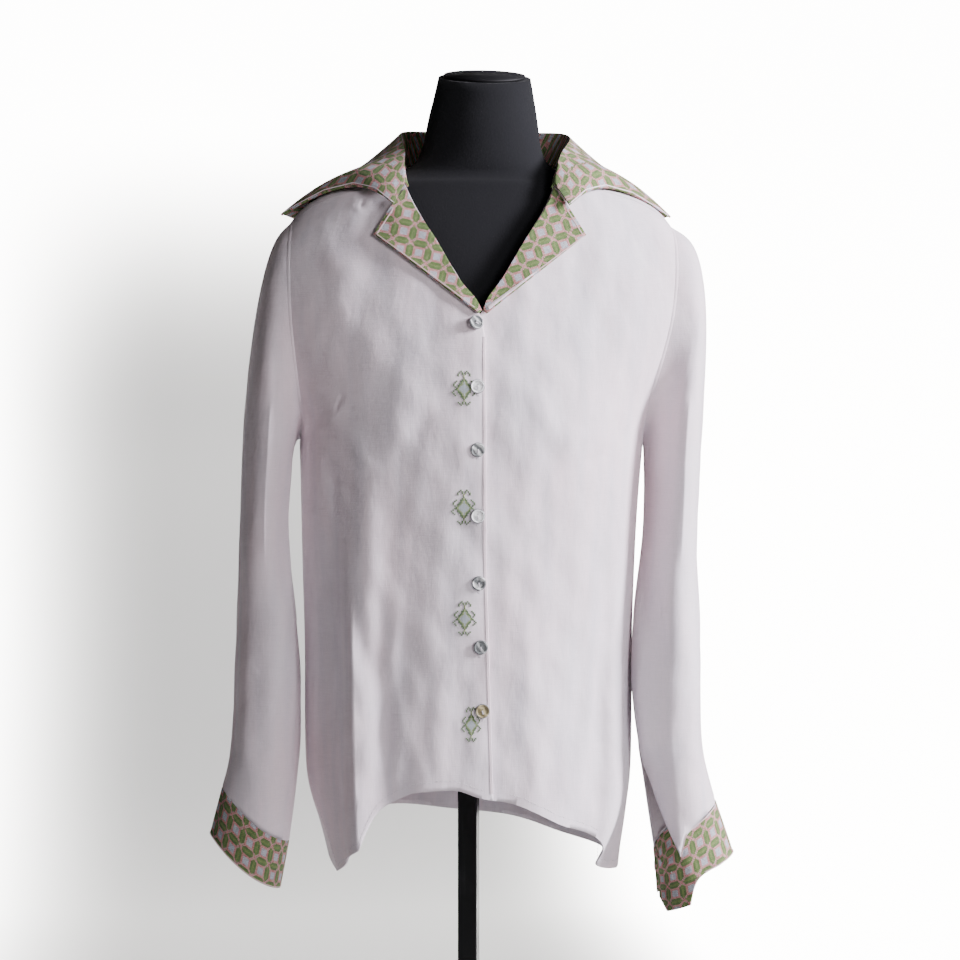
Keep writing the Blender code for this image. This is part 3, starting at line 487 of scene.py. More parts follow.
def lineSwell(x, z, lines, wander=0.0025):
    total = 0.0
    for startX, startZ, endX, endZ, height, width in lines:
        alongX, alongZ = endX - startX, endZ - startZ
        length = hypot(alongX, alongZ)
        offX, offZ = x - startX, z - startZ
        along = (offX * alongX + offZ * alongZ) / (length * length)
        if along < -0.25 or along > 1.25:
            continue
        aside = (offX * alongZ - offZ * alongX) / length + wander * sin(along * 9 + height * 4000)
        ends = smoothStep((along + 0.25) / 0.4) * smoothStep((1.25 - along) / 0.4)
        total += height * ends * exp(-(aside / width) ** 2)
    return total


def ripple(x, z):
    # slight unevenness of worn linen
    return (0.0010 * sin(x * 61 + 2.1 * sin(z * 17)) * sin(z * 23 + 1.7 * sin(x * 31))
            + 0.0005 * sin(x * 143 + z * 37) * sin(z * 71 - x * 29))


def pushFront(x, y, z):
    aside = smoothStep((0.172 - abs(x - 0.004)) / 0.03)
    top = smoothStep((1.475 - z) / 0.03)
    return (0, -(lineSwell(x, z, frontFolds) + ripple(x, z)) * aside * top, 0)


def pushBack(x, y, z):
    aside = smoothStep((0.165 - abs(x)) / 0.03)
    top = smoothStep((1.40 - z) / 0.05)
    return (0, (lineSwell(x, z, backFolds) + ripple(x, z)) * aside * top, 0)


def lengthen(piece, below, amount):
    # the open end reaches under the cuff, so that no light shows through the seam
    cells = bmesh.new()
    cells.from_mesh(piece.data)
    rim = {vertex for edge in cells.edges if len(edge.link_faces) == 2 and edge.calc_face_angle(0) > radians(55)
           for vertex in edge.verts if vertex.co.z < below}
    for vertex in rim:
        vertex.co.z -= amount
    cells.to_mesh(piece.data)
    cells.free()


def moveVertices(piece, move):
    count = len(piece.data.vertices)
    places = np.empty(count * 3)
    piece.data.vertices.foreach_get("co", places)
    places = places.reshape(count, 3)
    for row in places:
        row += move(*row)
    piece.data.vertices.foreach_set("co", places.ravel())
    piece.data.update()


frontRight = smoothCopy("front_right", "frontRight", linen, 3)
frontLeft = smoothCopy("front_left", "frontLeft", linen, 3)
back = smoothCopy("back", "backPanel", linen, 3)
yoke = smoothCopy("yoke", "yokePanel", linen, 2)
for front in (frontRight, frontLeft):
    moveVertices(front, pushFront)
moveVertices(back, pushBack)
print("body panels shaped")

# Sleeve folds: angle round the sleeve (0 towards the body, 90 in front), height, and the same again, size, half width
sleeveFolds = {
    "right": [
        (40, 1.30, 62, 1.02, 0.0035, 13), (85, 1.28, 95, 1.00, -0.0030, 14), (120, 1.22, 110, 0.90, 0.0022, 12),
        (60, 1.02, 75, 0.84, -0.0024, 13), (150, 1.20, 150, 0.90, -0.0018, 14), (25, 1.12, 38, 0.90, -0.0024, 12),
        (230, 1.24, 250, 0.88, 0.0028, 16), (300, 1.22, 290, 0.90, -0.0026, 16),
    ],
    "left": [
        (45, 1.26, 58, 0.95, -0.0026, 13), (90, 1.27, 82, 1.00, 0.0024, 15), (125, 1.24, 135, 0.93, -0.0022, 13),
        (75, 1.00, 70, 0.83, -0.0022, 10), (105, 0.99, 118, 0.84, 0.0020, 12), (160, 1.10, 155, 0.88, -0.0016, 14),
        (38, 1.26, 38, 0.90, 0.0120, 24), (62, 1.26, 62, 0.90, 0.0040, 18),
        (235, 1.24, 245, 0.90, 0.0028, 16), (295, 1.20, 300, 0.90, -0.0024, 16),
    ],
}
sleeveMiddles = {
    "right": [(0.78, -0.2333, -0.008), (0.829, -0.2225, -0.010), (0.88, -0.2138, -0.0095), (1.0, -0.2103, -0.005),
              (1.19, -0.2120, 0.004), (1.44, -0.205, 0.004)],
    "left": [(0.76, 0.237, -0.020), (0.816, 0.2254, -0.022), (0.89, 0.2108, -0.024), (1.0, 0.2078, -0.024),
             (1.19, 0.2165, 0.001), (1.44, 0.222, 0.002)],
}


def sleevePush(side):
    heights, middleX, middleY = zip(*sleeveMiddles[side])
    sign = -1 if side == "right" else 1

    def push(x, y, z):
        centreX = float(np.interp(z, heights, middleX))
        centreY = float(np.interp(z, heights, middleY))
        outX, outY = x - centreX, y - centreY
        angle = atan2(-outY, -sign * outX) * 180 / pi % 360
        swell = 0.0
        for lowAngle, lowZ, highAngle, highZ, size, width in sleeveFolds[side]:
            along = (z - lowZ) / (highZ - lowZ)
            if not -0.3 < along < 1.3:
                continue
            ends = smoothStep((along + 0.3) / 0.4) * smoothStep((1.3 - along) / 0.4)
            aside = angle - (lowAngle + (highAngle - lowAngle) * along) - 5 * sin(along * 8)
            swell += size * ends * exp(-(aside / width) ** 2)
        swell += 0.0006 * sin(angle / 9 + 2 * sin(z * 19)) * sin(z * 47)
        ease = smoothStep((1.33 - z) / 0.1) * smoothStep((z - 0.86) / 0.04)
        reach = max(hypot(outX, outY), 0.001)
        return (outX / reach * swell * ease, outY / reach * swell * ease, 0)

    return push


sleeveRight = smoothCopy("sleeve_right", "sleeveRight", linen, 3)
sleeveLeft = smoothCopy("sleeve_left", "sleeveLeft", linen, 3)
moveVertices(sleeveRight, sleevePush("right"))
moveVertices(sleeveLeft, sleevePush("left"))
lengthen(sleeveRight, 0.92, 0.0012)
lengthen(sleeveLeft, 0.90, 0.0035)
print("sleeves shaped")

collar = smoothCopy("collar", "collarLeaf", stitched, 3)
lapelRight = smoothCopy("lapel_right", "lapelRight", stitched, 3)
lapelLeft = smoothCopy("lapel_left", "lapelLeft", stitched, 3)
cuffRight = smoothCopy("cuff_right", "cuffRight", stitched, 3)
cuffLeft = smoothCopy("cuff_left", "cuffLeft", stitched, 3, corner=24)
for lapel in (lapelRight, lapelLeft):
    moveVertices(lapel, pushFront)


def latticeMap(piece, coordinates):
    # a UV map in metres that the stitched pattern follows
    layer = piece.data.uv_layers.new(name="lattice")
    spots = [coordinates(vertex.co) for vertex in piece.data.vertices]
    for loop in piece.data.loops:
        layer.data[loop.index].uv = spots[loop.vertex_index]


lapelPattern = {"right": (-0.0735, 1.4280, -13), "left": (0.0664, 1.4273, 17)}


def lapelCoordinates(side):
    middleX, middleZ, degreesTurned = lapelPattern[side]
    turnedX, turnedZ = cos(radians(degreesTurned)), sin(radians(degreesTurned))

    def coordinates(place):
        offX, offZ = place.x - middleX, place.z - middleZ
        return (offX * turnedX + offZ * turnedZ, offZ * turnedX - offX * turnedZ)

    return coordinates


collarLook = {"middleX": 0.0095, "middleY": 0.030, "bins": 40, "shift": 0.0060}


def collarCoordinates(piece, look):
    # along: the way round the neck from the middle of the back; across: the distance from the leaf's middle line
    def polar(place):
        offX, offY = place.x - look["middleX"], place.y - look["middleY"]
        return abs(atan2(offX, -offY)), hypot(offX, offY), 1 if offX > 0 else -1

    bins = {}
    for vertex in piece.data.vertices:
        angle, reach, _ = polar(vertex.co)
        bins.setdefault(int(angle / pi * look["bins"] * 0.999), []).append((angle, reach, vertex.co.z))
    angles, reaches, heights = zip(*[tuple(np.mean(bins[key], axis=0)) for key in sorted(bins)])
    spots = [Vector((reach * sin(angle), -reach * cos(angle), height))
             for angle, reach, height in zip(angles, reaches, heights)]
    lengths = lengthsAlong(spots)

    def coordinates(place):
        angle, reach, side = polar(place)
        along = lengths[-1] - float(np.interp(angle, angles, lengths))
        offReach = reach - float(np.interp(angle, angles, reaches))
        offHeight = place.z - float(np.interp(angle, angles, heights))
        return (side * along, (1 if offReach > offHeight else -1) * hypot(offReach, offHeight) + look["shift"])

    return coordinates


cuffRings = {
    # height, inner, outer, front, back and tilt of the seam and of the open end
    "right": ((0.829, 0.1870, 0.2580, -0.057, 0.037, 0.78), (0.780, 0.1960, 0.2705, -0.055, 0.039, 0.77), 0.009),
    "left": ((0.816, 0.1930, 0.2577, -0.070, 0.026, 0.76), (0.760, 0.1975, 0.2765, -0.074, 0.034, 0.46), 0.0),
}


def cuffCoordinates(side):
    upper, lower, dip = cuffRings[side]
    sign = -1 if side == "right" else 1
    steps = 240
    turns = [2 * pi * step / steps for step in range(steps + 1)]
    spots = []
    for turn in turns:
        across = -cos(turn) * (upper[2] - upper[1]) / 2
        spots.append(Vector((across, -(upper[4] - upper[3]) / 2 * sin(turn), upper[5] * across)))
    rim = lengthsAlong(spots)

    def coordinates(place):
        share = 0.5
        for _ in range(6):
            height, inner, outer, front, rear, tilt = (a + (b - a) * share for a, b in zip(upper, lower))
            across = sign * place.x - (inner + outer) / 2
            turn = atan2(-(place.y - (front + rear) / 2) / ((rear - front) / 2), -across / ((outer - inner) / 2))
            level = height + tilt * across - dip * max(sin(turn), 0) ** 2
            share += (level - place.z) / (upper[0] - lower[0]) * 0.8
            share = min(max(share, -0.3), 1.6)
        along = float(np.interp(turn % (2 * pi), turns, rim))
        return (sign * along, -share * hypot(upper[0] - lower[0], 0.004))

    return coordinates


latticeMap(lapelRight, lapelCoordinates("right"))
latticeMap(lapelLeft, lapelCoordinates("left"))
latticeMap(collar, collarCoordinates(collar, collarLook))
latticeMap(cuffRight, cuffCoordinates("right"))
latticeMap(cuffLeft, cuffCoordinates("left"))
print("collar, lapels and cuffs shaped")


smoothCopy("form_torso", "formTorso", formCover, 2, 40)
smoothCopy("neck_cap", "neckCap", capPaint, 0)
for node in ("flange", "pole", "base_plate"):
    frame["nodes"][node].data.materials.clear()
    frame["nodes"][node].data.materials.append(standPaint)

screwLook = {"radius": 0.0045, "height": 0.0022, "ring": 0.032}


def makeScrews():
    flangeLow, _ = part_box("flange")
    for index in range(4):
        turn = pi / 4 + index * pi / 2
        place = (screwLook["ring"] * cos(turn), screwLook["ring"] * sin(turn), flangeLow[2] - screwLook["height"] / 2)
        deselectAll()
        bpy.ops.mesh.primitive_cylinder_add(vertices=16, radius=screwLook["radius"], depth=screwLook["height"],
                                            location=place)
        screw = named("flangeScrew%d" % (index + 1), standPaint)
        roundEdges(screw, 0.0007, 2)
        applyAll(screw)
        settle(screw)
        finishPiece(screw)


makeScrews()
print("form and stand finished")


buttonLook = {"radius": 0.0073, "height": 0.0026, "holeRadius": 0.00105, "holeApart": 0.0032, "thread": 0.0004,
              "floor": 0.3, "lift": 0.0009, "rim": 0.20, "slope": 0.10, "dish": 0.3}


def makeButton(name, place, outward, spin, surface, look, scale=1.0):
    # a turned shell disc with a raised rim and two holes painted dark as shade, sewn on with thread
    radius, height = look["radius"] * scale, look["height"]
    deselectAll()
    bpy.ops.mesh.primitive_cylinder_add(vertices=40, radius=radius, depth=height, location=(0, 0, height / 2))
    button = named(name, surface)
    bpy.ops.object.mode_set(mode="EDIT")
    cells = bmesh.from_edit_mesh(button.data)
    for face in cells.faces:
        face.select_set(face.normal.z > 0.9)
    bmesh.update_edit_mesh(button.data)
    bpy.ops.mesh.inset(thickness=radius * look["rim"])
    bpy.ops.mesh.inset(thickness=radius * look["slope"])
    bpy.ops.transform.translate(value=(0, 0, -height * look["dish"]))
    bpy.ops.mesh.inset(thickness=radius * look["rim"])
    bpy.ops.object.mode_set(mode="OBJECT")
    roundEdges(button, height * 0.26, 3).angle_limit = radians(50)
    holes = [Vector((0, sign * look["holeApart"] * scale / 2, 0)) for sign in (-1, 1)]
    for hole in holes:
        deselectAll()
        bpy.ops.mesh.primitive_cylinder_add(vertices=16, radius=look["holeRadius"] * scale, depth=height,
                                            location=hole + Vector((0, 0, height * (look["floor"] + 0.5))))
        drill = named("drill")
        cut = button.modifiers.new("Hole", "BOOLEAN")
        cut.operation = "DIFFERENCE"
        cut.solver = "EXACT"
        cut.object = drill
    applyAll(button)
    for drill in [piece for piece in bpy.data.objects if piece.name.startswith("drill")]:
        bpy.data.objects.remove(drill)
    button.data.materials.append(holeShade)
    button.data.materials.append(rimShellWithShade)
    # the side wall and lower edge are darker: partly the shell's darker back, partly painted shade under the rim
    for face in button.data.polygons:
        middle = Vector((face.center.x, face.center.y, 0))
        if middle.length > radius * 0.9 and face.center.z < height * 0.8:
            face.material_index = 2
        # the walls and floor of each hole are painted dark: painted shade inside the holes
        if any((middle - hole).length < look["holeRadius"] * scale * 1.02 for hole in holes):
            if height * 0.2 < face.center.z < height * 0.69:
                face.material_index = 1
    smoothByAngle(button, 35)
    pieces = [button]
    for sign in (-0.3, 0.3):
        deselectAll()
        bpy.ops.mesh.primitive_torus_add(major_segments=20, minor_segments=8, minor_radius=look["thread"] * scale,
                                         major_radius=look["holeApart"] * scale / 2,
                                         location=(sign * look["holeRadius"] * scale, 0, height * 0.42),
                                         rotation=(0, pi / 2, 0))
        thread = named(name + ("ThreadA" if sign < 0 else "ThreadB"), seamThread)
        thread.scale = (0.5, 1, 1)
        pick(thread)
        bpy.ops.object.shade_smooth()
        bpy.ops.object.transform_apply(location=True, rotation=True, scale=True)
        pieces.append(thread)
    facing = outward.to_track_quat("Z", "Y").to_matrix().to_4x4()
    turn = Matrix.Translation(place) @ facing @ Matrix.Rotation(spin, 4, "Z")
    for piece in pieces:
        piece.data.transform(turn)
        piece.data.update()
        finishPiece(piece)
    return button


def discAxis(node, toward):
    # middle and outward direction of a thin round CAD node
    source = frame["nodes"][node]
    places = np.array([vertex.co[:] for vertex in source.data.vertices])
    middle = (places.max(axis=0) + places.min(axis=0)) / 2
    _, _, axes = np.linalg.svd(places - places.mean(axis=0))
    outward = Vector(axes[2])
    if outward.dot(toward) < 0:
        outward = -outward
    return Vector(middle), outward


bodyTree = treeOf(frontRight, frontLeft)
buttonSpins = [70, 8, -6, 12, 5, 15, 20]
buttonShells = [darkShell, shell, greyShell, shell, greyShell, darkShell, goldShell]
buttonPlaces = []
for index in range(7):
    node = "button_%d" % (index + 1)
    middle, outward = discAxis(node, Vector((0, -1, 0)))
    surfacePlace, _ = surfaceHit(bodyTree, middle.x, middle.z)
    seat = Vector((middle.x, surfacePlace.y, middle.z)) + outward * buttonLook["lift"]
    buttonPlaces.append(seat)
    # the top button hangs a little loose
    tip, lift = (Vector((0.35, 0, 0.1)), 0.002) if index == 0 else (Vector(), 0)
    button = makeButton("frontButton%d" % (index + 1), seat + outward * lift, (outward + tip).normalized(),
                        radians(buttonSpins[index]), buttonShells[index], buttonLook)
    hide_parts(node)
for node, name, toward, surface in (("cuff_button_right", "cuffButtonRight", Vector((-1, 1, 0)), shell),
                                    ("cuff_button_left", "cuffButtonLeft", Vector((-1, 0, 0)), darkShell)):
    middle, outward = discAxis(node, toward)
    button = makeButton(name, middle - outward * buttonLook["height"] / 2, outward, 0.3, surface, buttonLook, 0.76)
    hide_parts(node)
print("buttons made")


# The left half of the motif with its middle column, as rows of thread kinds
motifChart = [
    "......g..", ".....g.g.", "....g..g.", "....g...l", "........l",
    "........g", ".......gl", "...g..ggl", "..g...gls", ".g...ggls",
    ".g..gglss", "..g.glsss", "...glssss", "..gglssss", ".g..glsss",
    "g...gglss", ".g...ggls", "..g...gls", "......ggl", ".......gl",
    "........g", "........l", "....g..g.", ".....g.g.", "......g..",
]
motifSizes = [
    # middle x and z, cell width and cell height
    (-0.0153, 1.2668, 0.00146, 0.00142),
    (-0.0155, 1.1474, 0.00150, 0.00142),
    (-0.0142, 1.0356, 0.00142, 0.00140),
    (-0.0072, 0.9284, 0.00118, 0.00142),
]
threadLook = {"motifWidth": 0.00088, "buttonClear": 0.0068}


def addTube(cells, rings, surfaceIndex=0):
    # a closed four-sided bar through its rings of vertices
    for first, second in zip(rings, rings[1:]):
        for index in range(4):
            following = (index + 1) % 4
            face = cells.faces.new((first[index], first[following], second[following], second[index]))
            face.material_index = surfaceIndex
    for ring in (rings[0][::-1], rings[-1]):
        cells.faces.new(ring).material_index = surfaceIndex


def addStroke(cells, start, end, outward, width, surfaceIndex=0):
    # one raised thread, a flattened bar with bevelled sides
    along = end - start
    aside = outward.cross(along).normalized() * width / 2
    lift = outward * width * 0.55
    corners = []
    for place, share in ((start, 0.6), (start + along * 0.25, 1.0), (start + along * 0.75, 1.0), (end, 0.6)):
        across, up = aside * share, lift * share
        spots = (place + across, place + aside * 0.4 * share + up, place - aside * 0.4 * share + up, place - across)
        corners.append([cells.verts.new(spot) for spot in spots])
    addTube(cells, corners, surfaceIndex)


def finishStrokes(name, cells, surfaces):
    bmesh.ops.recalc_face_normals(cells, faces=cells.faces)
    mesh = bpy.data.meshes.new(name)
    cells.to_mesh(mesh)
    cells.free()
    for surface in surfaces:
        mesh.materials.append(surface)
    return finishPiece(linked(name, mesh))


def makeMotif(number, tree, middleX, middleZ, cellX, cellZ):
    cells = bmesh.new()
    kinds = {"g": 0, "l": 1, "s": 2}
    for line, half in enumerate(motifChart):
        row = half + half[-2::-1]
        for column, mark in enumerate(row):
            if mark == ".":
                continue
            x = middleX + (column - (len(row) - 1) / 2) * cellX
            z = middleZ - (line - (len(motifChart) - 1) / 2) * cellZ
            place, normal = surfaceHit(tree, x, z)
            if place is None or any((place - seat).length < threadLook["buttonClear"] for seat in buttonPlaces):
                continue
            for signX in (-1, 1):
                halfX, halfZ = cellX * 0.52 * signX, cellZ * 0.52
                start = place + Vector((-halfX, 0, -halfZ)) + normal * 0.0001
                end = place + Vector((halfX, 0, halfZ)) + normal * 0.0001
                addStroke(cells, start, end, normal, threadLook["motifWidth"], kinds[mark])
    finishStrokes("motif%d" % number, cells, (greenThread, limeThread, greyThread))


for number, sizes in enumerate(motifSizes):
    makeMotif(number + 1, bodyTree, *sizes)


def stitchRun(name, places, normals, surface, slot="linen", long=0.0030, gap=0.0016, width=0.0005):
    # running stitches along a line that lies on the cloth
    cells = bmesh.new()
    lengths = lengthsAlong(places)

    def at(distance):
        index = max(min(int(np.searchsorted(lengths, distance)) - 1, len(places) - 2), 0)
        share = (distance - lengths[index]) / max(lengths[index + 1] - lengths[index], 1e-9)
        outward = normals[index].lerp(normals[index + 1], share).normalized()
        return places[index].lerp(places[index + 1], share), outward

    distance = gap
    while distance + long < lengths[-1]:
        start, outward = at(distance)
        end, _ = at(distance + long)
        addStroke(cells, start + outward * 0.00005, end + outward * 0.00005, outward, width)
        distance += long + gap
    finishStrokes(name, cells, (surface,))


def drapeLine(tree, spots, steps):
    # a line given by spots (x, z), laid on what shows from the front
    keys = lengthsAlong([Vector(spot) for spot in spots])
    places, normals = [], []
    for step in range(steps + 1):
        distance = keys[-1] * step / steps
        x = float(np.interp(distance, keys, [spot[0] for spot in spots]))
        z = float(np.interp(distance, keys, [spot[1] for spot in spots]))
        place, normal = surfaceHit(tree, x, z)
        if place is not None:
            places.append(place)
            normals.append(normal)
    return places, normals


def ribbon(name, places, normals, width, thickness, surface, endWidth=None):
    # a narrow folded edge or flat seam that lies on the cloth
    cells = bmesh.new()
    count = len(places)
    widths = np.linspace(width, endWidth or width, count)
    rings = []
    for index, (place, outward) in enumerate(zip(places, normals)):
        before, after = places[max(index - 1, 0)], places[min(index + 1, count - 1)]
        aside = outward.cross(after - before).normalized() * float(widths[index]) / 2
        lift = outward * thickness
        rings.append([cells.verts.new(spot) for spot in (
            place + aside - lift * 0.3, place + aside * 0.75 + lift,
            place - aside * 0.75 + lift, place - aside - lift * 0.3)])
    addTube(cells, rings)
    smoothByAngle(finishStrokes(name, cells, (surface,)), 50)


def borderLoops(piece):
    # ordered border lines of a cloth shell, with the outward direction of the cloth beside them
    cells = bmesh.new()
    cells.from_mesh(piece.data)
    cells.normal_update()
    sharp = [edge for edge in cells.edges if len(edge.link_faces) == 2 and edge.calc_face_angle(0) > radians(55)]
    fromVertex = {}
    for edge in sharp:
        for vertex in edge.verts:
            fromVertex.setdefault(vertex, []).append(edge)
    loops = []
    left = set(sharp)
    for edge in sharp:
        if edge not in left:
            continue
        left.discard(edge)
        line = [edge.verts[0], edge.verts[1]]
        for _ in range(2):
            # on from the last vertex, then the same from the other end
            following = True
            while following:
                following = [other for other in fromVertex[line[-1]] if other in left]
                if following:
                    left.discard(following[0])
                    line.append(following[0].other_vert(line[-1]))
            line.reverse()
        if len(line) > 12:
            widest = [max(spot.link_faces, key=lambda face: face.calc_area()) for spot in line]
            loops.append(([spot.co.copy() for spot in line], [face.normal.copy() for face in widest]))
    cells.free()
    return loops


def outerLoop(piece, centre, rule):
    # of the border lines whose middle passes the rule, the one that faces away from the centre
    best, bestScore = None, -1e9
    for places, normals in borderLoops(piece):
        middle = sum(places, Vector()) / len(places)
        if not rule(middle):
            continue
        score = sum(normal.dot((place - centre).normalized()) for place, normal in zip(places, normals)) / len(places)
        if score > bestScore:
            best, bestScore = (places, normals), score
    return best


def evenly(places, normals, spacing):
    # the same line with even steps
    lengths = lengthsAlong(places)
    count = max(int(lengths[-1] / spacing), 2)
    at = [lengths[-1] * step / count for step in range(count + 1)]

    def resampled(vectors):
        axes = [np.interp(at, lengths, [vector[axis] for vector in vectors]).tolist() for axis in range(3)]
        return [Vector(spot) for spot in zip(*axes)]

    return resampled(places), [normal.normalized() for normal in resampled(normals)]


def leanShift(z):
    return 0.017 * (max(z - 1.10, 0) / 0.50) ** 1.2


seamLook = {"width": 0.0050, "thickness": 0.0005}
for side, sleeve, centreX in (("Right", sleeveRight, -0.15), ("Left", sleeveLeft, 0.15)):
    found = outerLoop(sleeve, Vector((centreX, 0, 1.3)), lambda middle: middle.z > 1.25)
    places, normals = evenly(*found, 0.006)
    inward = Vector((1 if side == "Right" else -1, 0, 0)) * 0.0006
    ribbon("armholeSeam" + side, [place + inward for place in places], normals, seamLook["width"],
           seamLook["thickness"], linen)
print("armhole seams made")

edgeLook = {"placketWidth": 0.0032, "thickness": 0.0005, "threadWidth": 0.0012, "threadThickness": 0.0004,
            "facingWidth": 0.0050, "facingEnd": 0.0012}


def placketLine():
    spots = []
    for step in range(110):
        z = 1.332 - step * (1.332 - 0.858) / 109
        x = -0.0075 + 0.032 * max(1.30 - z, 0) + 0.0085 + leanShift(z)
        spots.append((x - 0.0016, z))
    return drapeLine(rightTree, spots, 110)


def hemLine(tree, lowX, highX, direction, inset):
    # a line of even height above the hem of a body panel, found from below
    places, normals = [], []
    for step in range(161):
        x = lowX + (highX - lowX) * step / 160
        levels = (0.745 + level * 0.002 for level in range(70))
        lowest = next((z for z in levels if surfaceHit(tree, x, z, direction)[0]), None)
        if lowest is not None:
            place, normal = surfaceHit(tree, x, lowest + inset, direction)
            if place is not None:
                places.append(place)
                normals.append(normal)
    return places, normals


rightTree, leftTree, backTree = treeOf(frontRight), treeOf(frontLeft), treeOf(back)
ribbon("placketEdge", *placketLine(), edgeLook["placketWidth"], edgeLook["thickness"], pinkEdge)
for name, tree, low, high, direction in (("hemStitchesRight", rightTree, -0.160, 0.008, 1),
                                         ("hemStitchesLeft", leftTree, 0.030, 0.160, 1),
                                         ("hemStitchesBack", backTree, -0.155, 0.155, -1)):
    stitchRun(name, *hemLine(tree, low, high, direction, 0.008), seamThread)

holeLook = {"length": 0.0172, "step": 0.0007, "reach": 0.0013, "width": 0.00055}


def makeButtonhole(name, middle, tree, look):
    # two rows of satin stitches beside an upright slit
    cells = bmesh.new()
    count = int(look["length"] / look["step"])
    for index in range(count + 1):
        z = middle.z + (index / count - 0.5) * look["length"]
        place, normal = surfaceHit(tree, middle.x, z)
        if place is None:
            continue
        for sign in (-1, 1):
            start = place + Vector((sign * 0.0001, 0, 0))
            addStroke(cells, start, start + Vector((sign * look["reach"], 0, 0)), normal, look["width"])
    finishStrokes(name, cells, (seamThread,))


for index, seat in enumerate(buttonPlaces[1:], 2):
    makeButtonhole("buttonhole%d" % index, seat, rightTree, holeLook)

stitchRun("cuffTack", *drapeLine(treeOf(cuffLeft), [(0.2060, 0.7700), (0.2080, 0.7590)], 12), whiteThread,
          "stitched_cloth", 0.0022, 0.0008, 0.0009)

lapelTrees = {"Right": treeOf(lapelRight), "Left": treeOf(lapelLeft)}
collarTree = treeOf(collar)
for side, sign in (("Right", -1), ("Left", 1)):
    lowest, corner, notch = (0.004, 1.3450), (0.1075, 1.4245), (0.0900, 1.4530)
    spots = []
    for share in (0.03, 0.25, 0.5, 0.75, 0.985):
        x = lowest[0] + (corner[0] - lowest[0]) * share
        z = lowest[1] + (corner[1] - lowest[1]) * share + 0.0014
        spots.append((-0.0045 + sign * x + leanShift(z), z))
    ribbon("lapelEdge" + side, *drapeLine(lapelTrees[side], spots, 50), edgeLook["threadWidth"],
           edgeLook["threadThickness"], pinkThread)
    if side == "Left":
        # the linen back of the leaf shows where it rolls
        ribbon("lapelRoll", *drapeLine(lapelTrees[side], spots[:3], 40), edgeLook["facingWidth"],
               edgeLook["threadThickness"], pinkEdge, endWidth=edgeLook["facingEnd"])
    spots = []
    for share in (0.04, 0.5, 0.96):
        x = corner[0] + (notch[0] - corner[0]) * share - 0.0014
        z = corner[1] + (notch[1] - corner[1]) * share
        spots.append((-0.0055 + sign * x + leanShift(z), z))
    ribbon("notchEdge" + side, *drapeLine(lapelTrees[side], spots, 16), edgeLook["threadWidth"],
           edgeLook["threadThickness"], pinkThread)
    spots = []
    for x, z, share in ((0.0900, 1.4555, 0.18), (0.1090, 1.4730, 0.36), (0.1310, 1.4800, 0.55),
                        (0.1610, 1.4740, 0.74), (0.1900, 1.4590, 0.90), (0.2020, 1.4520, 0.99)):
        spots.append((-0.0055 * (1 - share / 2) + sign * x + leanShift(z), z + 0.0016))
    ribbon("collarEdge" + side, *drapeLine(collarTree, spots, 50), edgeLook["threadWidth"], edgeLook["thickness"],
           pinkEdge)
for side, cuff, centre, ends in (("Right", cuffRight, Vector((-0.228, -0.009, 0.80)), (("End", False),)),
                                 ("Left", cuffLeft, Vector((0.230, -0.021, 0.79)), (("Top", True), ("End", False)))):
    for end, above in ends:
        level = centre.z
        found = outerLoop(cuff, centre, lambda middle: (middle.z > level) == above)
        places, normals = evenly(*found, 0.004)
        inset = Vector((0, 0, -0.0010 if above else 0.0010))
        ribbon("cuffEdge" + end + side, [place + inset for place in places], normals, edgeLook["threadWidth"],
               edgeLook["threadThickness"], pinkThread)
print("edges and stitches made")


stageLook = {"glow": 14.0, "darkest": 0.030, "paper": (0.45, 0.45, 0.44), "tint": (1.0, 0.985, 0.960)}


def makeStage(look):
    # pale backdrop that glows behind the object as painted light, with a painted shadow that falls off to grey low
    # down on the left
    recipe = Recipe("glowing backdrop with painted shadow", Base_Color=look["paper"], Roughness=0.95, Specular_IOR_Level=0.05,
                    Emission_Strength=look["glow"])
    aside, ahead, height = recipe.axes()

    def ramp(value, low, high):
        return recipe.node("ShaderNodeMapRange", {"interpolation_type": "SMOOTHSTEP"},
                           {"Value": value, "From Min": low, "From Max": high, "To Min": 0.0, "To Max": 1.0})

    # painted shadow of the shirt on the backdrop, darkest low down on the left
    shadow = ramp(height, 2.30, 1.33) * ramp(aside, -1.10, -0.42) * ramp(aside, 0.97, 0.43)
    shadow = shadow * (0.75 + ramp(height, -0.37, 0.36) * 0.25)
    inView = ramp(ahead, 3.2, 3.8) * ramp(height, 3.1, 2.75) * ramp(aside, -1.5, -1.1) * ramp(aside, 2.6, 2.2)
    level = recipe.maths("POWER", look["darkest"], shadow) * inView
    red, green, blue = look["tint"]
    tinted = recipe.node("ShaderNodeCombineColor", {}, {0: level * red, 1: level * green, 2: level * blue})
    recipe.feed(Emission_Color=tinted)
    deselectAll()
    bpy.ops.mesh.primitive_plane_add(size=12, location=(0, 0, 0))
    floor = named("floor", recipe.material)
    bpy.ops.object.mode_set(mode="EDIT")
    bpy.ops.mesh.select_all(action="DESELECT")
    cells = bmesh.from_edit_mesh(floor.data)
    for edge in cells.edges:
        edge.select_set(all(vertex.co.y > 5 for vertex in edge.verts))
    bmesh.update_edit_mesh(floor.data)
    bpy.ops.mesh.extrude_region_move(TRANSFORM_OT_translate={"value": (0, 0, 5)})
    bpy.ops.object.mode_set(mode="OBJECT")
    roundEdges(floor, 1.2, 12)
    applyAll(floor)
    pick(floor)
    bpy.ops.object.shade_smooth()
    settle(floor)


makeStage(stageLook)


def addArea(name, place, aim, size, watts, colour):
    data = bpy.data.lights.new(name, "AREA")
    data.shape = "RECTANGLE"
    data.size, data.size_y = size
    data.energy = watts
    data.color = colour
    lamp = linked(name, data)
    lamp.location = place
    lamp.rotation_euler = (Vector(aim) - Vector(place)).to_track_quat("-Z", "Y").to_euler()


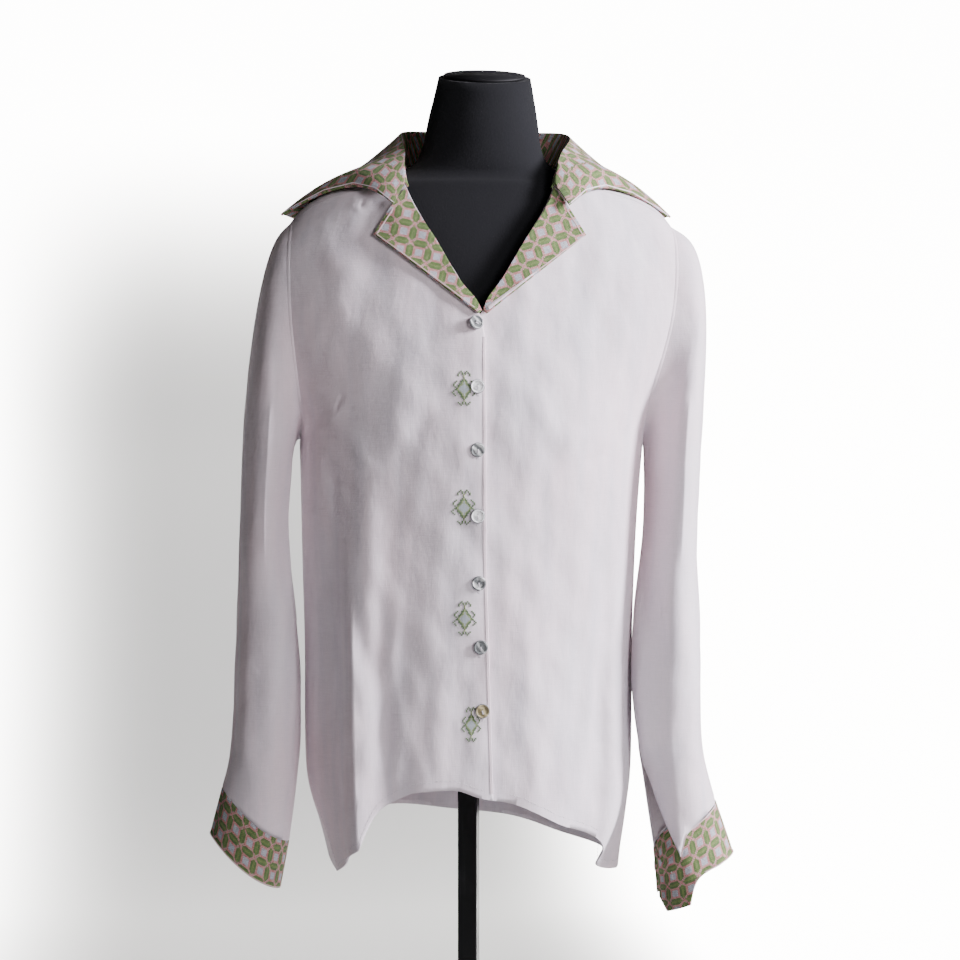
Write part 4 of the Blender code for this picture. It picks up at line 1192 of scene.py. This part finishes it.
addArea("keyLight", (3.25, -1.12, 2.65), (0, 0, 1.15), (0.8, 1.2), 480, (0.93, 0.91, 1.0))
addArea("frontLight", (1.9, -3.2, 2.3), (0, 0, 1.1), (1.0, 1.4), 82, (0.98, 0.95, 1.0))

world = bpy.data.worlds.new("studio")
bpy.context.scene.world = world
world.use_nodes = True
world.node_tree.nodes["Background"].inputs[0].default_value = (1.0, 0.92, 0.88, 1)
world.node_tree.nodes["Background"].inputs[1].default_value = 0.06

cameraLook = {"azimuth": -5.0, "distance": 3.0, "height": 1.1748, "aside": 0.012, "width": 1.008}


def makeCamera(look):
    data = bpy.data.cameras.new("photoCamera")
    camera = linked("photoCamera", data)
    azimuth = radians(look["azimuth"])
    right = Vector((cos(azimuth), sin(azimuth), 0))
    ahead = Vector((-sin(azimuth), cos(azimuth), 0))
    camera.location = Vector((0, 0, look["height"])) - ahead * look["distance"] + right * look["aside"]
    camera.rotation_euler = (radians(90), 0, azimuth)
    data.sensor_width = 36
    data.lens = data.sensor_width * look["distance"] / look["width"]
    bpy.context.scene.camera = camera


makeCamera(cameraLook)
print("stage, light and camera set")


# Piece, width and length of its cut, flat area, how it is held, what it rests on and what is sewn to it
sheetRows = [
    (frontRight, 0.27, 0.66, 0.155, "hung", ["formTorso"],
     ["placketEdge", "hemStitchesRight", *("motif%d" % number for number in range(1, 5)),
      *("buttonhole%d" % number for number in range(2, 8))]),
    (frontLeft, 0.27, 0.66, 0.160, "hung", ["formTorso"], ["hemStitchesLeft"]),
    (back, 0.50, 0.58, 0.270, "hung", ["formTorso"], ["hemStitchesBack"]),
    (yoke, 0.42, 0.17, 0.063, "draped", ["formTorso"], []),
    (sleeveRight, 0.34, 0.60, 0.165, "hung", ["yokePanel"], ["armholeSeamRight"]),
    (sleeveLeft, 0.34, 0.60, 0.170, "hung", ["yokePanel"], ["armholeSeamLeft"]),
    (cuffRight, 0.240, 0.062, 0.0140, "folded", ["sleeveRight"], ["cuffEdgeEndRight"]),
    (cuffLeft, 0.250, 0.064, 0.0150, "folded", ["sleeveLeft"], ["cuffEdgeTopLeft", "cuffEdgeEndLeft", "cuffTack"]),
    (collar, 0.50, 0.18, 0.080, "folded", ["yokePanel"], ["collarEdgeRight", "collarEdgeLeft"]),
    (lapelRight, 0.150, 0.055, 0.0048, "folded", ["frontRight"], ["lapelEdgeRight", "notchEdgeRight"]),
    (lapelLeft, 0.150, 0.055, 0.0049, "folded", ["frontLeft"], ["lapelEdgeLeft", "notchEdgeLeft", "lapelRoll"]),
]
for sheet, width, length, area, held, restsOn, trim in sheetRows:
    [bpy.data.objects[name] for name in trim]
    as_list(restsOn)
